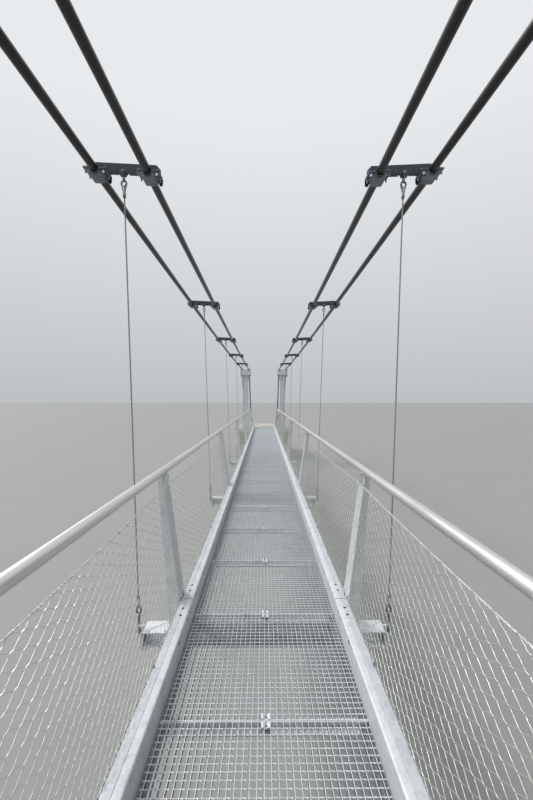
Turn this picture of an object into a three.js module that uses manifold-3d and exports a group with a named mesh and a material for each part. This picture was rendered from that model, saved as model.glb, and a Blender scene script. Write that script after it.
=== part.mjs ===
// Suspension footbridge: six bays between two concrete abutments.
// Millimetres. +Z is up, +Y runs along the bridge, +X is across it.
// The origin is on the ground, under the middle of the bridge.
// Heights written as "above the walkway" are measured from the top of the gratings.

import * as THREE from 'three';
import { mergeVertices } from 'three/addons/utils/BufferGeometryUtils.js';
import Module from 'manifold-3d';

const wasm = await Module();
wasm.setup();

// Driving dimensions
const walkwayHeight = 1800;
const bayLength = 4000;
const bayCount = 6;
const clearWidth = 1120;
const handrailCentreHeight = 1150;
const handrailDiameter = 60.3;
const mainCableDiameter = 64;
const hangerRopeDiameter = 12;
const seatGap = 0.3;

const halfSpan = bayLength * bayCount / 2;
const hangerStations = [];
for (let bay = 1; bay < bayCount; bay += 1) {
  hangerStations.push(-halfSpan + bay * bayLength);
}

// Edge girder, the kerb: a channel that opens outwards, with a ledge for the gratings
const kerb = {
  innerX: clearWidth / 2,
  outerX: clearWidth / 2 + 100,
  top: 150,
  bottom: -100,
  plate: 8,
  ledgeWidth: 40,
  ledgePlate: 6,
};
const gratingDepth = 30;
const panelLength = 1000;
const panelGrooveWidth = 6;
const panelGrooveDepth = 8;
const deckOverrun = 90;

// Openings of a grating panel: a row across the walkway, between bars that run along it
const gratingOpenings = { across: 6, edge: 30, bar: 24, endRail: 58 };

// Bearers: a T-section under each panel joint and an angle at each end of a bay
const bearer = { flangeWidth: 110, flange: 8, web: 8, depth: 48 };

// Cross-beam: an H-section with a hanger bracket at each end
const beam = { halfLength: 954, width: 160, depth: 118, flange: 10, web: 8 };
const beamTop = kerb.bottom - seatGap;
const lowerPin = { x: 999, z: -124, radius: 8, length: 62 };
const lugPlate = 20;

// Railing post: a leaning T-section, its flange towards the walkway, with a narrow neck under the rail
const post = {
  flangeDepth: 160,
  flange: 8,
  web: 10,
  footInnerX: kerb.outerX + seatGap,
  footOuterX: 757,
  leanStart: 158,
  flangeTopX: 780,
  flangeTop: 1030,
  neckInnerX: 805,
  neckDepth: 54,
  topOuterX: 858,
  topHeight: 1130,
};
const cleat = { innerX: 764, top: 1128, plate: 8, inset: 15, slack: 0.5 };
const handrailX = 812;

// Safety net and the rope along its upper edge, which a notched cleat on each post holds
const netThickness = 3;
const netFootX = 655;
const edgeRopeX = 768;
const edgeRopeDiameter = 8;
const edgeRopeHeight = 1053;
const edgeRopeSag = 36;

// Openings of a net: a plain grid between strips, under the lowest point of the edge rope
const netOpenings = { across: 12, rows: 3, strip: 16, rim: 20 };

// Main cables, two on each side
const innerCableX = 918;
const outerCableX = 1336;
const pairCentreX = (innerCableX + outerCableX) / 2;
const cableHeightMiddle = 3480;
const cableSag = 120;
const cableStep = 20;
const cableSides = 8;
const saddleRadius = 900;
const saddleSteps = 5;
const saddleStart = halfSpan - 330;
const backstayAngle = THREE.MathUtils.degToRad(45);
const anchorPinHeight = 300;
const anchorPinRadius = 24;
const anchorHoleRadius = 26.5;

// Pylon: half sizes of its base plate, shaft and head, and the heights of head and haunches
const tower = {
  baseHalfX: 250,
  baseHalfY: 320,
  basePlate: 40,
  shaftHalfX: 150,
  shaftFootY: 190,
  shaftTopY: 150,
  headHalf: 320,
  headDrop: 90,
  haunchHalfY: 120,
  haunchDrop: 300,
};

// Keeper: a bolted block over each cable at the top of its saddle groove
const keeper = {
  half: 60, low: -12, shoulder: 14, capHalf: 32, top: 46, length: 120, lean: THREE.MathUtils.degToRad(6),
};

// Anchor: its plate reaches behind and in front of the pins, and each lug is as thick as a fork allows
const anchor = {
  halfWidth: 330, behind: 300, before: 260, plateTop: 40, lugHalf: 22, eye: 60, eyeCorner: 42,
};

// Clamp: a bar over the pair of cables, and on each cable a folded shell with a raised cap
const clampBar = {
  half: 297, plate: 20, low: 4, shoulder: 44, high: 80, chamfer: 35,
  lugHalf: 22, lugShoulder: 36, lugLow: -22,
};
const clampShell = {
  half: 90, top: 12, shoulder: -8, footHalf: 42, foot: -56, capFootHalf: 42, capHalf: 24, capTop: 40,
};
const clampHalfLength = 66;
const upperPinRise = 12;

// Concrete abutments
const abutment = { frontY: 11600, backY: 16300, halfWidth: 1700, corner: 60, coping: 30, copingHeight: 200 };
const seatPocket = { halfWidth: 880, backY: halfSpan + deckOverrun + 10, depth: 100 };

// Finishes
const galvanised = new THREE.MeshStandardMaterial({ color: 0xaab1b3, roughness: 0.5, metalness: 0.7 });
const grate = new THREE.MeshStandardMaterial({ color: 0x7d8689, roughness: 0.6, metalness: 0.6 });
const stainless = new THREE.MeshStandardMaterial({ color: 0xcfcbc4, roughness: 0.3, metalness: 0.9 });
const wire = new THREE.MeshStandardMaterial({ color: 0x9ba38f, roughness: 0.4, metalness: 0.8 });
const lockedCoil = new THREE.MeshStandardMaterial({ color: 0x3b3c33, roughness: 0.6, metalness: 0.5 });
const clampPaint = new THREE.MeshStandardMaterial({ color: 0x3a4350, roughness: 0.5, metalness: 0.4 });
const concrete = new THREE.MeshStandardMaterial({ color: 0xa6a199, roughness: 0.95, metalness: 0 });

const axisX = new THREE.Vector3(1, 0, 0);
const axisY = new THREE.Vector3(0, 1, 0);
const axisZ = new THREE.Vector3(0, 0, 1);

// Shapes

function outline(points) {
  return new THREE.Shape(points.map(([u, v]) => new THREE.Vector2(u, v)));
}

function roundHole(u, v, radius, sides) {
  const hole = new THREE.Path();
  const step = 2 * Math.PI / sides;
  hole.moveTo(u + radius, v);
  for (let i = 1; i < sides; i += 1) {
    hole.lineTo(u + radius * Math.cos(i * step), v - radius * Math.sin(i * step));
  }
  hole.closePath();
  return hole;
}

function ring(radius, sides) {
  const points = [];
  for (let i = 0; i < sides; i += 1) {
    const angle = (i + 0.5) * 2 * Math.PI / sides;
    points.push([radius * Math.cos(angle), radius * Math.sin(angle)]);
  }
  return points;
}

function extruded(shape, depth) {
  return new THREE.ExtrudeGeometry(shape, { depth, bevelEnabled: false, steps: 1 });
}

// A plate drawn in X and Z, that fills lowY to highY
function plateAcross(shape, lowY, highY) {
  const basis = new THREE.Matrix4().makeBasis(axisX, axisZ, axisY.clone().negate());
  return extruded(shape, highY - lowY).applyMatrix4(basis).translate(0, highY, 0);
}

// A plate drawn in Y and Z, that fills lowX to highX
function plateAlong(shape, lowX, highX) {
  const basis = new THREE.Matrix4().makeBasis(axisY, axisZ, axisX);
  return extruded(shape, highX - lowX).applyMatrix4(basis).translate(lowX, 0, 0);
}

function block(lowX, highX, lowY, highY, lowZ, highZ) {
  const box = new THREE.BoxGeometry(highX - lowX, highY - lowY, highZ - lowZ);
  return box.translate((lowX + highX) / 2, (lowY + highY) / 2, (lowZ + highZ) / 2);
}

function rod(radius, sides, length, direction) {
  const bar = new THREE.CylinderGeometry(radius, radius, length, sides);
  const turn = new THREE.Quaternion().setFromUnitVectors(axisY, direction);
  return bar.applyQuaternion(turn);
}

// A path that is sampled exactly at its own points
class PointPath extends THREE.Curve {
  constructor(points) {
    super();
    this.points = points;
  }

  getPointAt(u, target = new THREE.Vector3()) {
    const place = u * (this.points.length - 1);
    const first = Math.min(Math.floor(place + 1e-9), this.points.length - 2);
    return target.lerpVectors(this.points[first], this.points[first + 1], place - first);
  }

  getTangentAt(u, target = new THREE.Vector3()) {
    const last = this.points.length - 1;
    const place = Math.round(u * last);
    const before = this.points[Math.max(place - 1, 0)];
    const after = this.points[Math.min(place + 1, last)];
    return target.subVectors(after, before).normalize();
  }
}

function tube(points, radius, sides) {
  const path = new PointPath(points);
  const steps = points.length - 1;
  return new THREE.ExtrudeGeometry(outline(ring(radius, sides)), { extrudePath: path, steps });
}

// Solids that are joined and cut

function solid(geometry) {
  const bare = geometry.clone();
  bare.deleteAttribute('normal');
  bare.deleteAttribute('uv');
  const merged = mergeVertices(bare, 1e-3);
  const mesh = new wasm.Mesh({
    numProp: 3,
    vertProperties: new Float32Array(merged.attributes.position.array),
    triVerts: new Uint32Array(merged.index.array),
  });
  return new wasm.Manifold(mesh);
}

function joined(geometries) {
  return geometries.map(solid).reduce((whole, part) => whole.add(part));
}

function geometryOf(body) {
  const mesh = body.getMesh();
  const geometry = new THREE.BufferGeometry();
  geometry.setAttribute('position', new THREE.BufferAttribute(mesh.vertProperties, 3));
  geometry.setIndex(new THREE.BufferAttribute(mesh.triVerts, 1));
  geometry.computeVertexNormals();
  return geometry;
}

// Lines that several pieces share

function cableHeight(y) {
  return cableHeightMiddle + cableSag * (y / halfSpan) ** 2;
}

// The circle that a cable follows over its saddle, tangent to the span
function saddleCircle() {
  const startSlope = Math.atan(2 * cableSag * saddleStart / halfSpan ** 2);
  const centreY = saddleStart + saddleRadius * Math.sin(startSlope);
  const centreZ = cableHeight(saddleStart) - saddleRadius * Math.cos(startSlope);
  return { startSlope, centreY, centreZ };
}

// One side's cable line from the pin at one end to the pin at the other
function cableLine(x, rise) {
  const half = [];
  const spanSteps = 6;
  for (let i = 0; i < spanSteps; i += 1) {
    const y = Math.min(i * bayLength / 2, saddleStart);
    half.push([y, cableHeight(y)]);
  }
  const { startSlope, centreY, centreZ } = saddleCircle();
  for (let i = 0; i <= saddleSteps; i += 1) {
    const angle = -startSlope + i * (startSlope + backstayAngle) / saddleSteps;
    half.push([centreY + saddleRadius * Math.sin(angle), centreZ + saddleRadius * Math.cos(angle)]);
  }
  const [arcY, arcZ] = half[half.length - 1];
  const drop = arcZ - anchorPinHeight;
  half.push([arcY + drop / Math.tan(backstayAngle), anchorPinHeight]);
  const there = half.map(([y, z]) => new THREE.Vector3(x, y, z + rise));
  const back = half.slice(1).reverse().map(([y, z]) => new THREE.Vector3(x, -y, z + rise));
  return [...back, ...there];
}

function saddleArc() {
  return cableLine(0, 0).slice(-saddleSteps - 2, -1).map((point) => [point.y, point.z]);
}

function anchorPin(rise) {
  const points = cableLine(0, rise);
  return points[points.length - 1];
}

function shortened(points, cut) {
  const ends = points.map((point) => point.clone());
  const last = ends.length - 1;
  ends[0].lerp(ends[1], cut / ends[0].distanceTo(ends[1]));
  ends[last].lerp(ends[last - 1], cut / ends[last].distanceTo(ends[last - 1]));
  return ends;
}

const socketStart = 160;
const socketLength = 380;

function cableRope(x, rise, radius) {
  return tube(shortened(cableLine(x, rise), socketStart + socketLength - 20), radius, cableSides);
}

// Cable end: a cast socket with a fork and its pin, drawn along +Z from the pin
function forkSocket() {
  const lugHalf = 22;
  const cheek = 24;
  const cheekInner = lugHalf + 1;
  const cheekOuter = cheekInner + cheek;
  const cheekShape = outline([[-48, 0], [-34, -34], [0, -48], [34, -34], [48, 0], [48, 200], [-48, 200]]);
  const profile = [[0, 0], [62, 0], [74, 40], [74, 150], [40, 330], [40, socketLength], [0, socketLength]];
  const socket = new THREE.LatheGeometry(profile.map(([r, h]) => new THREE.Vector2(r, h)), 8);
  socket.rotateX(Math.PI / 2).translate(0, 0, socketStart);
  return [
    plateAlong(cheekShape, cheekInner, cheekOuter),
    plateAlong(cheekShape, -cheekOuter, -cheekInner),
    block(-cheekOuter + 1, cheekOuter - 1, -47, 47, 120, 199),
    socket,
    rod(anchorPinRadius, 8, 2 * cheekOuter + 24, axisX),
  ];
}

function mainCable(x, rise) {
  const points = cableLine(x, rise);
  const pieces = [solid(cableRope(x, rise, mainCableDiameter / 2))];
  for (const [end, next] of [[points[0], points[1]], [points.at(-1), points.at(-2)]]) {
    const up = next.clone().sub(end).normalize();
    const side = up.clone().cross(axisX);
    const basis = new THREE.Matrix4().makeBasis(axisX, side, up).setPosition(end);
    for (const piece of forkSocket()) {
      pieces.push(solid(piece.applyMatrix4(basis)));
    }
  }
  return geometryOf(pieces.reduce((whole, part) => whole.add(part)));
}

// Anchor on the abutment: a base plate with one lug for each cable, drawn at the north end
function anchorBracket() {
  const a = anchor;
  const pins = [[innerCableX, anchorPin(-cableStep / 2)], [outerCableX, anchorPin(cableStep / 2)]];
  const pinY = pins[0][1].y;
  const pieces = [block(pairCentreX - a.halfWidth, pairCentreX + a.halfWidth,
    pinY - a.behind, pinY + a.before, seatGap, a.plateTop)];
  for (const [x, pin] of pins) {
    const lug = outline([
      [pin.y - 240, a.plateTop - 5], [pin.y + 150, a.plateTop - 5], [pin.y + a.eye, pin.z],
      [pin.y + a.eyeCorner, pin.z + a.eyeCorner], [pin.y, pin.z + a.eye],
      [pin.y - a.eyeCorner, pin.z + a.eyeCorner], [pin.y - a.eye, pin.z],
    ]);
    pieces.push(plateAlong(lug, x - a.lugHalf, x + a.lugHalf));
  }
  let body = joined(pieces);
  for (const [x, pin] of pins) {
    body = body.subtract(solid(rod(anchorHoleRadius, 8, 60, axisX).translate(x, pin.y, pin.z)));
  }
  return geometryOf(body);
}

// Pylon: base plate, shaft and a saddle head that carries one side's pair of cables
function pylon() {
  const t = tower;
  const centre = pairCentreX;
  const arc = saddleArc();
  const headBottom = arc.at(-1)[1] - t.headDrop;
  const shaftTop = headBottom + 20;
  const head = outline([...arc, [arc.at(-1)[0], headBottom], [arc[0][0], headBottom]]);
  const shaft = outline([
    [halfSpan - t.shaftFootY, t.basePlate - 2], [halfSpan + t.shaftFootY, t.basePlate - 2],
    [halfSpan + t.shaftTopY, shaftTop], [halfSpan - t.shaftTopY, shaftTop],
  ]);
  const haunchFoot = t.shaftHalfX - 5;
  const haunchHead = t.headHalf - 10;
  const haunch = outline([
    [centre - haunchFoot, headBottom - t.haunchDrop], [centre + haunchFoot, headBottom - t.haunchDrop],
    [centre + haunchHead, headBottom - 30], [centre + haunchHead, headBottom + 10],
    [centre - haunchHead, headBottom + 10], [centre - haunchHead, headBottom - 30],
  ]);
  let body = joined([
    block(centre - t.baseHalfX, centre + t.baseHalfX,
      halfSpan - t.baseHalfY, halfSpan + t.baseHalfY, seatGap, t.basePlate),
    plateAlong(shaft, centre - t.shaftHalfX, centre + t.shaftHalfX),
    plateAcross(haunch, halfSpan - t.haunchHalfY, halfSpan + t.haunchHalfY),
    plateAlong(head, centre - t.headHalf, centre + t.headHalf),
  ]);
  const k = keeper;
  const circle = saddleCircle();
  const cover = outline([
    [-k.half, k.low], [k.half, k.low], [k.half, k.shoulder],
    [k.capHalf, k.top], [-k.capHalf, k.top], [-k.half, k.shoulder],
  ]);
  for (const [x, rise] of [[innerCableX, -cableStep / 2], [outerCableX, cableStep / 2]]) {
    const y = circle.centreY + saddleRadius * Math.sin(k.lean);
    const z = circle.centreZ + saddleRadius * Math.cos(k.lean) + rise;
    const cap = plateAcross(cover, -k.length / 2, k.length / 2).rotateX(-k.lean).translate(x, y, z);
    body = body.add(solid(cap)).subtract(solid(cableRope(x, rise, mainCableDiameter / 2 + seatGap)));
  }
  return geometryOf(body);
}

// Clamp: a spacer bar over the pair of cables, a bolted clamp on each and a lug for the hanger
function cableClamp(station) {
  const tilt = Math.atan(cableStep / (outerCableX - innerCableX));
  const reach = (outerCableX - innerCableX) / 2;
  const b = clampBar;
  const s = clampShell;
  const bar = outline([
    [-b.half, b.low], [-b.lugShoulder, b.low], [-b.lugHalf, b.lugLow],
    [b.lugHalf, b.lugLow], [b.lugShoulder, b.low], [b.half, b.low],
    [b.half, b.shoulder], [b.half - b.chamfer, b.high], [-b.half + b.chamfer, b.high], [-b.half, b.shoulder],
  ]);
  bar.holes.push(roundHole(0, upperPinRise, lowerPin.radius + 1, 8));
  const shell = outline([
    [-s.half, s.top], [-s.half, s.shoulder], [-s.footHalf, s.foot],
    [s.footHalf, s.foot], [s.half, s.shoulder], [s.half, s.top],
    [s.capFootHalf, s.top], [s.capHalf, s.capTop], [-s.capHalf, s.capTop], [-s.capFootHalf, s.top],
  ]);
  const half = clampHalfLength;
  const pieces = [plateAcross(bar, -b.plate / 2, b.plate / 2)];
  for (const x of [-reach, reach]) {
    pieces.push(plateAcross(shell, -half, half).translate(x, 0, 0));
  }
  let body = joined(pieces.map((piece) => piece
    .rotateY(-tilt)
    .translate(pairCentreX, station, cableHeight(station))));
  for (const [x, rise] of [[innerCableX, -cableStep / 2], [outerCableX, cableStep / 2]]) {
    body = body.subtract(solid(cableRope(x, rise, mainCableDiameter / 2 + seatGap)));
  }
  return geometryOf(body).translate(0, -station, 0);
}

// Hanger end: shackle, thimble and ferrule, drawn along +Z from the shackle's pin
const lowerShackleReach = 140;
const upperShackleReach = 72;
const thimbleLength = 80;
const ferruleLength = 66;

function hangerEnd(reach) {
  const jaw = lugPlate / 2 + 1.5;
  const side = 12;
  const leg = outline([
    [-24, -18], [24, -18], [24, 8], [9, 50], [9, reach + 13], [-9, reach + 13], [-9, 50], [-24, 8],
  ]);
  const low = reach - 12;
  const high = low + thimbleLength;
  const thimble = outline([
    [-16, low], [16, low], [27, low + 20], [27, low + 40],
    [9, high], [-9, high], [-27, low + 40], [-27, low + 20],
  ]);
  const eye = outline([[0, low + 68], [-15, low + 38], [-11, low + 13], [11, low + 13], [15, low + 38]]);
  thimble.holes.push(new THREE.Path(eye.getPoints()));
  return joined([
    plateAcross(leg, jaw, jaw + side),
    plateAcross(leg, -jaw - side, -jaw),
    block(-9, 9, -jaw - side, jaw + side, reach, reach + 13),
    rod(lowerPin.radius, 8, lowerPin.length, axisY),
    plateAcross(thimble, -7, 7),
    rod(12.5, 6, ferruleLength, axisZ).translate(0, 0, high + ferruleLength / 2 - 6),
  ]);
}

function hanger(station) {
  const foot = new THREE.Vector3(lowerPin.x, 0, lowerPin.z);
  const tilt = Math.atan(cableStep / (outerCableX - innerCableX));
  const head = new THREE.Vector3(
    pairCentreX - upperPinRise * Math.sin(tilt), 0, cableHeight(station) + upperPinRise * Math.cos(tilt));
  const length = foot.distanceTo(head);
  const lowEnd = geometryOf(hangerEnd(lowerShackleReach));
  const highEnd = geometryOf(hangerEnd(upperShackleReach)).rotateX(Math.PI).translate(0, 0, length);
  const ropeLow = lowerShackleReach + thimbleLength + ferruleLength - 30;
  const ropeHigh = length - (upperShackleReach + thimbleLength + ferruleLength - 30);
  const rope = rod(hangerRopeDiameter / 2, 6, ropeHigh - ropeLow, axisZ);
  rope.translate(0, 0, (ropeLow + ropeHigh) / 2);
  const body = joined([lowEnd, rope, highEnd]);
  const up = head.clone().sub(foot).normalize();
  const turn = new THREE.Quaternion().setFromUnitVectors(axisZ, up);
  return geometryOf(body).applyQuaternion(turn).translate(foot.x, 0, foot.z);
}

// Railing post, drawn on the right side at Y = 0, with its foot at the given height
function postPieces(footHeight) {
  const p = post;
  const web = outline([
    [p.footInnerX + 2, footHeight], [p.footOuterX, footHeight], [p.topOuterX, p.topHeight],
    [p.neckInnerX + 2, p.topHeight], [p.neckInnerX + 2, p.flangeTop + 10], [p.flangeTopX + 2, p.flangeTop],
    [p.footInnerX + 2, p.leanStart],
  ]);
  const flange = outline([
    [p.footInnerX, footHeight], [p.footInnerX + p.flange, footHeight],
    [p.footInnerX + p.flange, p.leanStart], [p.flangeTopX + p.flange, p.flangeTop],
    [p.flangeTopX, p.flangeTop], [p.footInnerX, p.leanStart],
  ]);
  const notch = edgeRopeDiameter / 2 + cleat.slack;
  const cleatPlate = outline([
    [p.flangeTopX + 1, p.flangeTop - 20], [p.flangeTopX + p.flange, p.flangeTop - 20],
    [p.flangeTopX + cleat.inset, p.flangeTop + 5], [p.flangeTopX + cleat.inset, cleat.top],
    [cleat.innerX, cleat.top], [cleat.innerX, edgeRopeHeight + notch],
    [edgeRopeX + notch, edgeRopeHeight + notch], [edgeRopeX + notch, p.flangeTop + 5],
  ]);
  return [
    plateAcross(web, -p.web / 2, p.web / 2),
    plateAcross(flange, -p.flangeDepth / 2, p.flangeDepth / 2),
    plateAcross(cleatPlate, -cleat.plate / 2, cleat.plate / 2),
    block(p.neckInnerX, p.neckInnerX + p.flange,
      -p.neckDepth / 2, p.neckDepth / 2, p.flangeTop, p.topHeight),
  ];
}

function handrailRod(radius) {
  const length = 2 * (halfSpan + deckOverrun + 20);
  return rod(radius, 16, length, axisY).translate(handrailX, 0, handrailCentreHeight);
}

function rightToLeft(geometry) {
  return geometry.clone().rotateZ(Math.PI);
}

function crossFrame() {
  const half = beam.width / 2;
  const bottom = beamTop - beam.depth;
  const section = outline([
    [-half, beamTop], [-half, beamTop - beam.flange], [-beam.web / 2, beamTop - beam.flange],
    [-beam.web / 2, bottom + beam.flange], [-half, bottom + beam.flange], [-half, bottom],
    [half, bottom], [half, bottom + beam.flange], [beam.web / 2, bottom + beam.flange],
    [beam.web / 2, beamTop - beam.flange], [half, beamTop - beam.flange], [half, beamTop],
  ].reverse());
  const lug = outline([
    [beam.halfLength - 30, beamTop - 4], [beam.halfLength, beamTop - 4], [beam.halfLength + 6, -88],
    [lowerPin.x + 8, -88], [lowerPin.x + 22, -106], [lowerPin.x + 20, -142], [lowerPin.x - 20, -286],
    [beam.halfLength - 14, -286], [beam.halfLength - 30, bottom - 20],
  ].reverse());
  lug.holes.push(roundHole(lowerPin.x, lowerPin.z, lowerPin.radius + 1, 8));
  const side = [plateAcross(lug, -lugPlate / 2, lugPlate / 2), ...postPieces(beamTop - 5)];
  const body = joined([
    plateAlong(section, -beam.halfLength, beam.halfLength),
    ...side,
    ...side.map(rightToLeft),
  ]);
  const rail = handrailRod(handrailDiameter / 2 + seatGap);
  return geometryOf(body.subtract(solid(rail)).subtract(solid(rightToLeft(rail))));
}

function endPost() {
  const half = post.flangeDepth / 2;
  const footTop = kerb.bottom + 12;
  const foot = block(post.footInnerX, post.footOuterX + 60, -half - 15, half + 15, kerb.bottom, footTop);
  const body = joined([foot, ...postPieces(kerb.bottom + 2)]);
  return geometryOf(body.subtract(solid(handrailRod(handrailDiameter / 2 + seatGap))));
}

function kerbGirder() {
  const k = kerb;
  const ledgeTop = -gratingDepth - seatGap;
  const section = outline([
    [k.innerX, k.bottom], [k.outerX, k.bottom], [k.outerX, k.bottom + k.plate],
    [k.innerX + k.plate, k.bottom + k.plate], [k.innerX + k.plate, k.top - k.plate],
    [k.outerX, k.top - k.plate], [k.outerX, k.top], [k.innerX, k.top], [k.innerX, ledgeTop],
    [k.innerX - k.ledgeWidth, ledgeTop], [k.innerX - k.ledgeWidth, ledgeTop - k.ledgePlate],
    [k.innerX, ledgeTop - k.ledgePlate],
  ]);
  return plateAcross(section, -halfSpan - deckOverrun, halfSpan + deckOverrun);
}

// Grating of one bay on its bearers; the end bays run on to the abutment
function grating(lowOverrun, highOverrun) {
  const low = -bayLength / 2 - lowOverrun + seatGap;
  const high = bayLength / 2 + highOverrun - seatGap;
  const halfWidth = kerb.innerX - seatGap;
  const flangeHalf = kerb.innerX - kerb.ledgeWidth - 1;
  const flangeLow = -gratingDepth - bearer.flange;
  const webLow = -gratingDepth - bearer.depth;
  const points = [[low, -gratingDepth], [high, -gratingDepth], [high, 0]];
  const bearers = [];
  for (let y = bayLength / 2 - panelLength; y > -bayLength / 2; y -= panelLength) {
    points.push([y + panelGrooveWidth / 2, 0], [y + panelGrooveWidth / 2, -panelGrooveDepth]);
    points.push([y - panelGrooveWidth / 2, -panelGrooveDepth], [y - panelGrooveWidth / 2, 0]);
    bearers.push([y - bearer.flangeWidth / 2, y + bearer.flangeWidth / 2, y - bearer.web / 2]);
  }
  points.push([low, 0]);
  bearers.push([low, low + bearer.flangeWidth / 2, low]);
  bearers.push([high - bearer.flangeWidth / 2, high, high - bearer.web]);
  let plate = solid(plateAlong(outline(points), -halfWidth, halfWidth));
  const g = gratingOpenings;
  const pitch = (2 * (halfWidth - g.edge) + g.bar) / g.across;
  for (let panel = 0; panel < bayLength / panelLength; panel += 1) {
    const start = -bayLength / 2 + panel * panelLength;
    for (let i = 0; i < g.across; i += 1) {
      const x = -halfWidth + g.edge + i * pitch;
      plate = plate.subtract(solid(block(
        x, x + pitch - g.bar, start + g.endRail, start + panelLength - g.endRail, -gratingDepth - 5, 5)));
    }
  }
  const pieces = [];
  for (const [flangeStart, flangeEnd, webStart] of bearers) {
    pieces.push(block(-flangeHalf, flangeHalf, flangeStart, flangeEnd, flangeLow, -gratingDepth + 1));
    pieces.push(block(-halfWidth, halfWidth, webStart, webStart + bearer.web, webLow, flangeLow + 1));
  }
  return geometryOf(plate.add(joined(pieces)));
}

// Net of one side, with its edge rope, in a plane that leans from the kerb to the cleats
function safetyNet() {
  const footZ = kerb.top + seatGap;
  const lean = Math.atan((edgeRopeX - netFootX) / (edgeRopeHeight - footZ));
  const up = new THREE.Vector3(Math.sin(lean), 0, Math.cos(lean));
  const out = new THREE.Vector3(Math.cos(lean), 0, -Math.sin(lean));
  const end = halfSpan + post.flangeDepth / 2;
  const ropeLine = [];
  const stepsInBay = 4;
  for (let i = 0; i <= bayCount * stepsInBay; i += 1) {
    const share = (i % stepsInBay) / stepsInBay;
    const sag = edgeRopeSag * 4 * share * (1 - share);
    ropeLine.push([-halfSpan + i * bayLength / stepsInBay, (edgeRopeHeight - sag - footZ) / Math.cos(lean)]);
  }
  ropeLine[0][0] = -end;
  ropeLine.at(-1)[0] = end;
  const sheet = outline([[-end, 0.6], [end, 0.6], ...ropeLine.slice().reverse()]);
  let mesh = solid(extruded(sheet, netThickness).translate(0, 0, -netThickness / 2));
  const n = netOpenings;
  const pitchAlong = 2 * halfSpan / n.across;
  const top = (edgeRopeHeight - edgeRopeSag - footZ) / Math.cos(lean) - n.rim;
  const pitchUp = (top - n.rim + n.strip) / n.rows;
  for (let column = 0; column < n.across; column += 1) {
    const start = -halfSpan + column * pitchAlong;
    for (let row = 0; row < n.rows; row += 1) {
      const low = n.rim + row * pitchUp;
      mesh = mesh.subtract(solid(block(
        start + n.strip / 2, start + pitchAlong - n.strip / 2, low, low + pitchUp - n.strip,
        -netThickness, netThickness)));
    }
  }
  const rope = tube(ropeLine.map(([y, t]) => new THREE.Vector3(y, t, 0)), edgeRopeDiameter / 2, 6);
  const basis = new THREE.Matrix4().makeBasis(axisY, up, out).setPosition(netFootX, 0, footZ);
  return geometryOf(mesh.add(solid(rope))).applyMatrix4(basis);
}

// Abutment: a block with bevelled corners, a coping band round its top and a pocket for the deck's end
function abutmentBlock() {
  const a = abutment;
  const rim = (inset, corner) => outline([
    [-a.halfWidth + inset, a.frontY + inset + corner], [-a.halfWidth + inset + corner, a.frontY + inset],
    [a.halfWidth - inset - corner, a.frontY + inset], [a.halfWidth - inset, a.frontY + inset + corner],
    [a.halfWidth - inset, a.backY], [-a.halfWidth + inset, a.backY],
  ]);
  const body = extruded(rim(a.coping, a.corner), walkwayHeight - 10);
  const coping = extruded(rim(0, a.corner), a.copingHeight).translate(0, 0, walkwayHeight - a.copingHeight);
  const pocketFloor = walkwayHeight - seatPocket.depth - seatGap;
  const pocket = block(-seatPocket.halfWidth, seatPocket.halfWidth,
    a.frontY - 10, seatPocket.backY, pocketFloor, walkwayHeight + 10);
  return geometryOf(joined([body, coping]).subtract(solid(pocket)));
}

// Assembly

function named(name, geometry, material) {
  const mesh = new THREE.Mesh(geometry, material.clone());
  mesh.name = name;
  return mesh;
}

const bridge = new THREE.Group();
const deckLevel = new THREE.Group();
deckLevel.position.z = walkwayHeight;
bridge.add(deckLevel);

const abutmentShape = abutmentBlock();
const northAbutment = named('abutment_north', abutmentShape, concrete);
const southAbutment = named('abutment_south', abutmentShape, concrete);
southAbutment.rotation.z = Math.PI;
bridge.add(northAbutment, southAbutment);

const frameShape = crossFrame();
hangerStations.forEach((station, index) => {
  const frame = named(`cross_frame_${index + 1}`, frameShape, galvanised);
  frame.position.y = station;
  deckLevel.add(frame);
});

for (let bay = 0; bay < bayCount; bay += 1) {
  const lowOverrun = bay === 0 ? deckOverrun : 0;
  const highOverrun = bay === bayCount - 1 ? deckOverrun : 0;
  const panel = named(`grating_bay_${bay + 1}`, grating(lowOverrun, highOverrun), grate);
  panel.position.y = -halfSpan + (bay + 0.5) * bayLength;
  deckLevel.add(panel);
}

// The two sides are alike; the left one is the right one turned half round
const sideShapes = {
  kerb: kerbGirder(),
  handrail: handrailRod(handrailDiameter / 2),
  net: safetyNet(),
  post: endPost(),
  inner: mainCable(innerCableX, -cableStep / 2),
  outer: mainCable(outerCableX, cableStep / 2),
  pylon: pylon(),
  anchor: anchorBracket(),
};
const clampShapes = hangerStations.map(cableClamp);
const hangerShapes = hangerStations.map(hanger);

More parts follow.
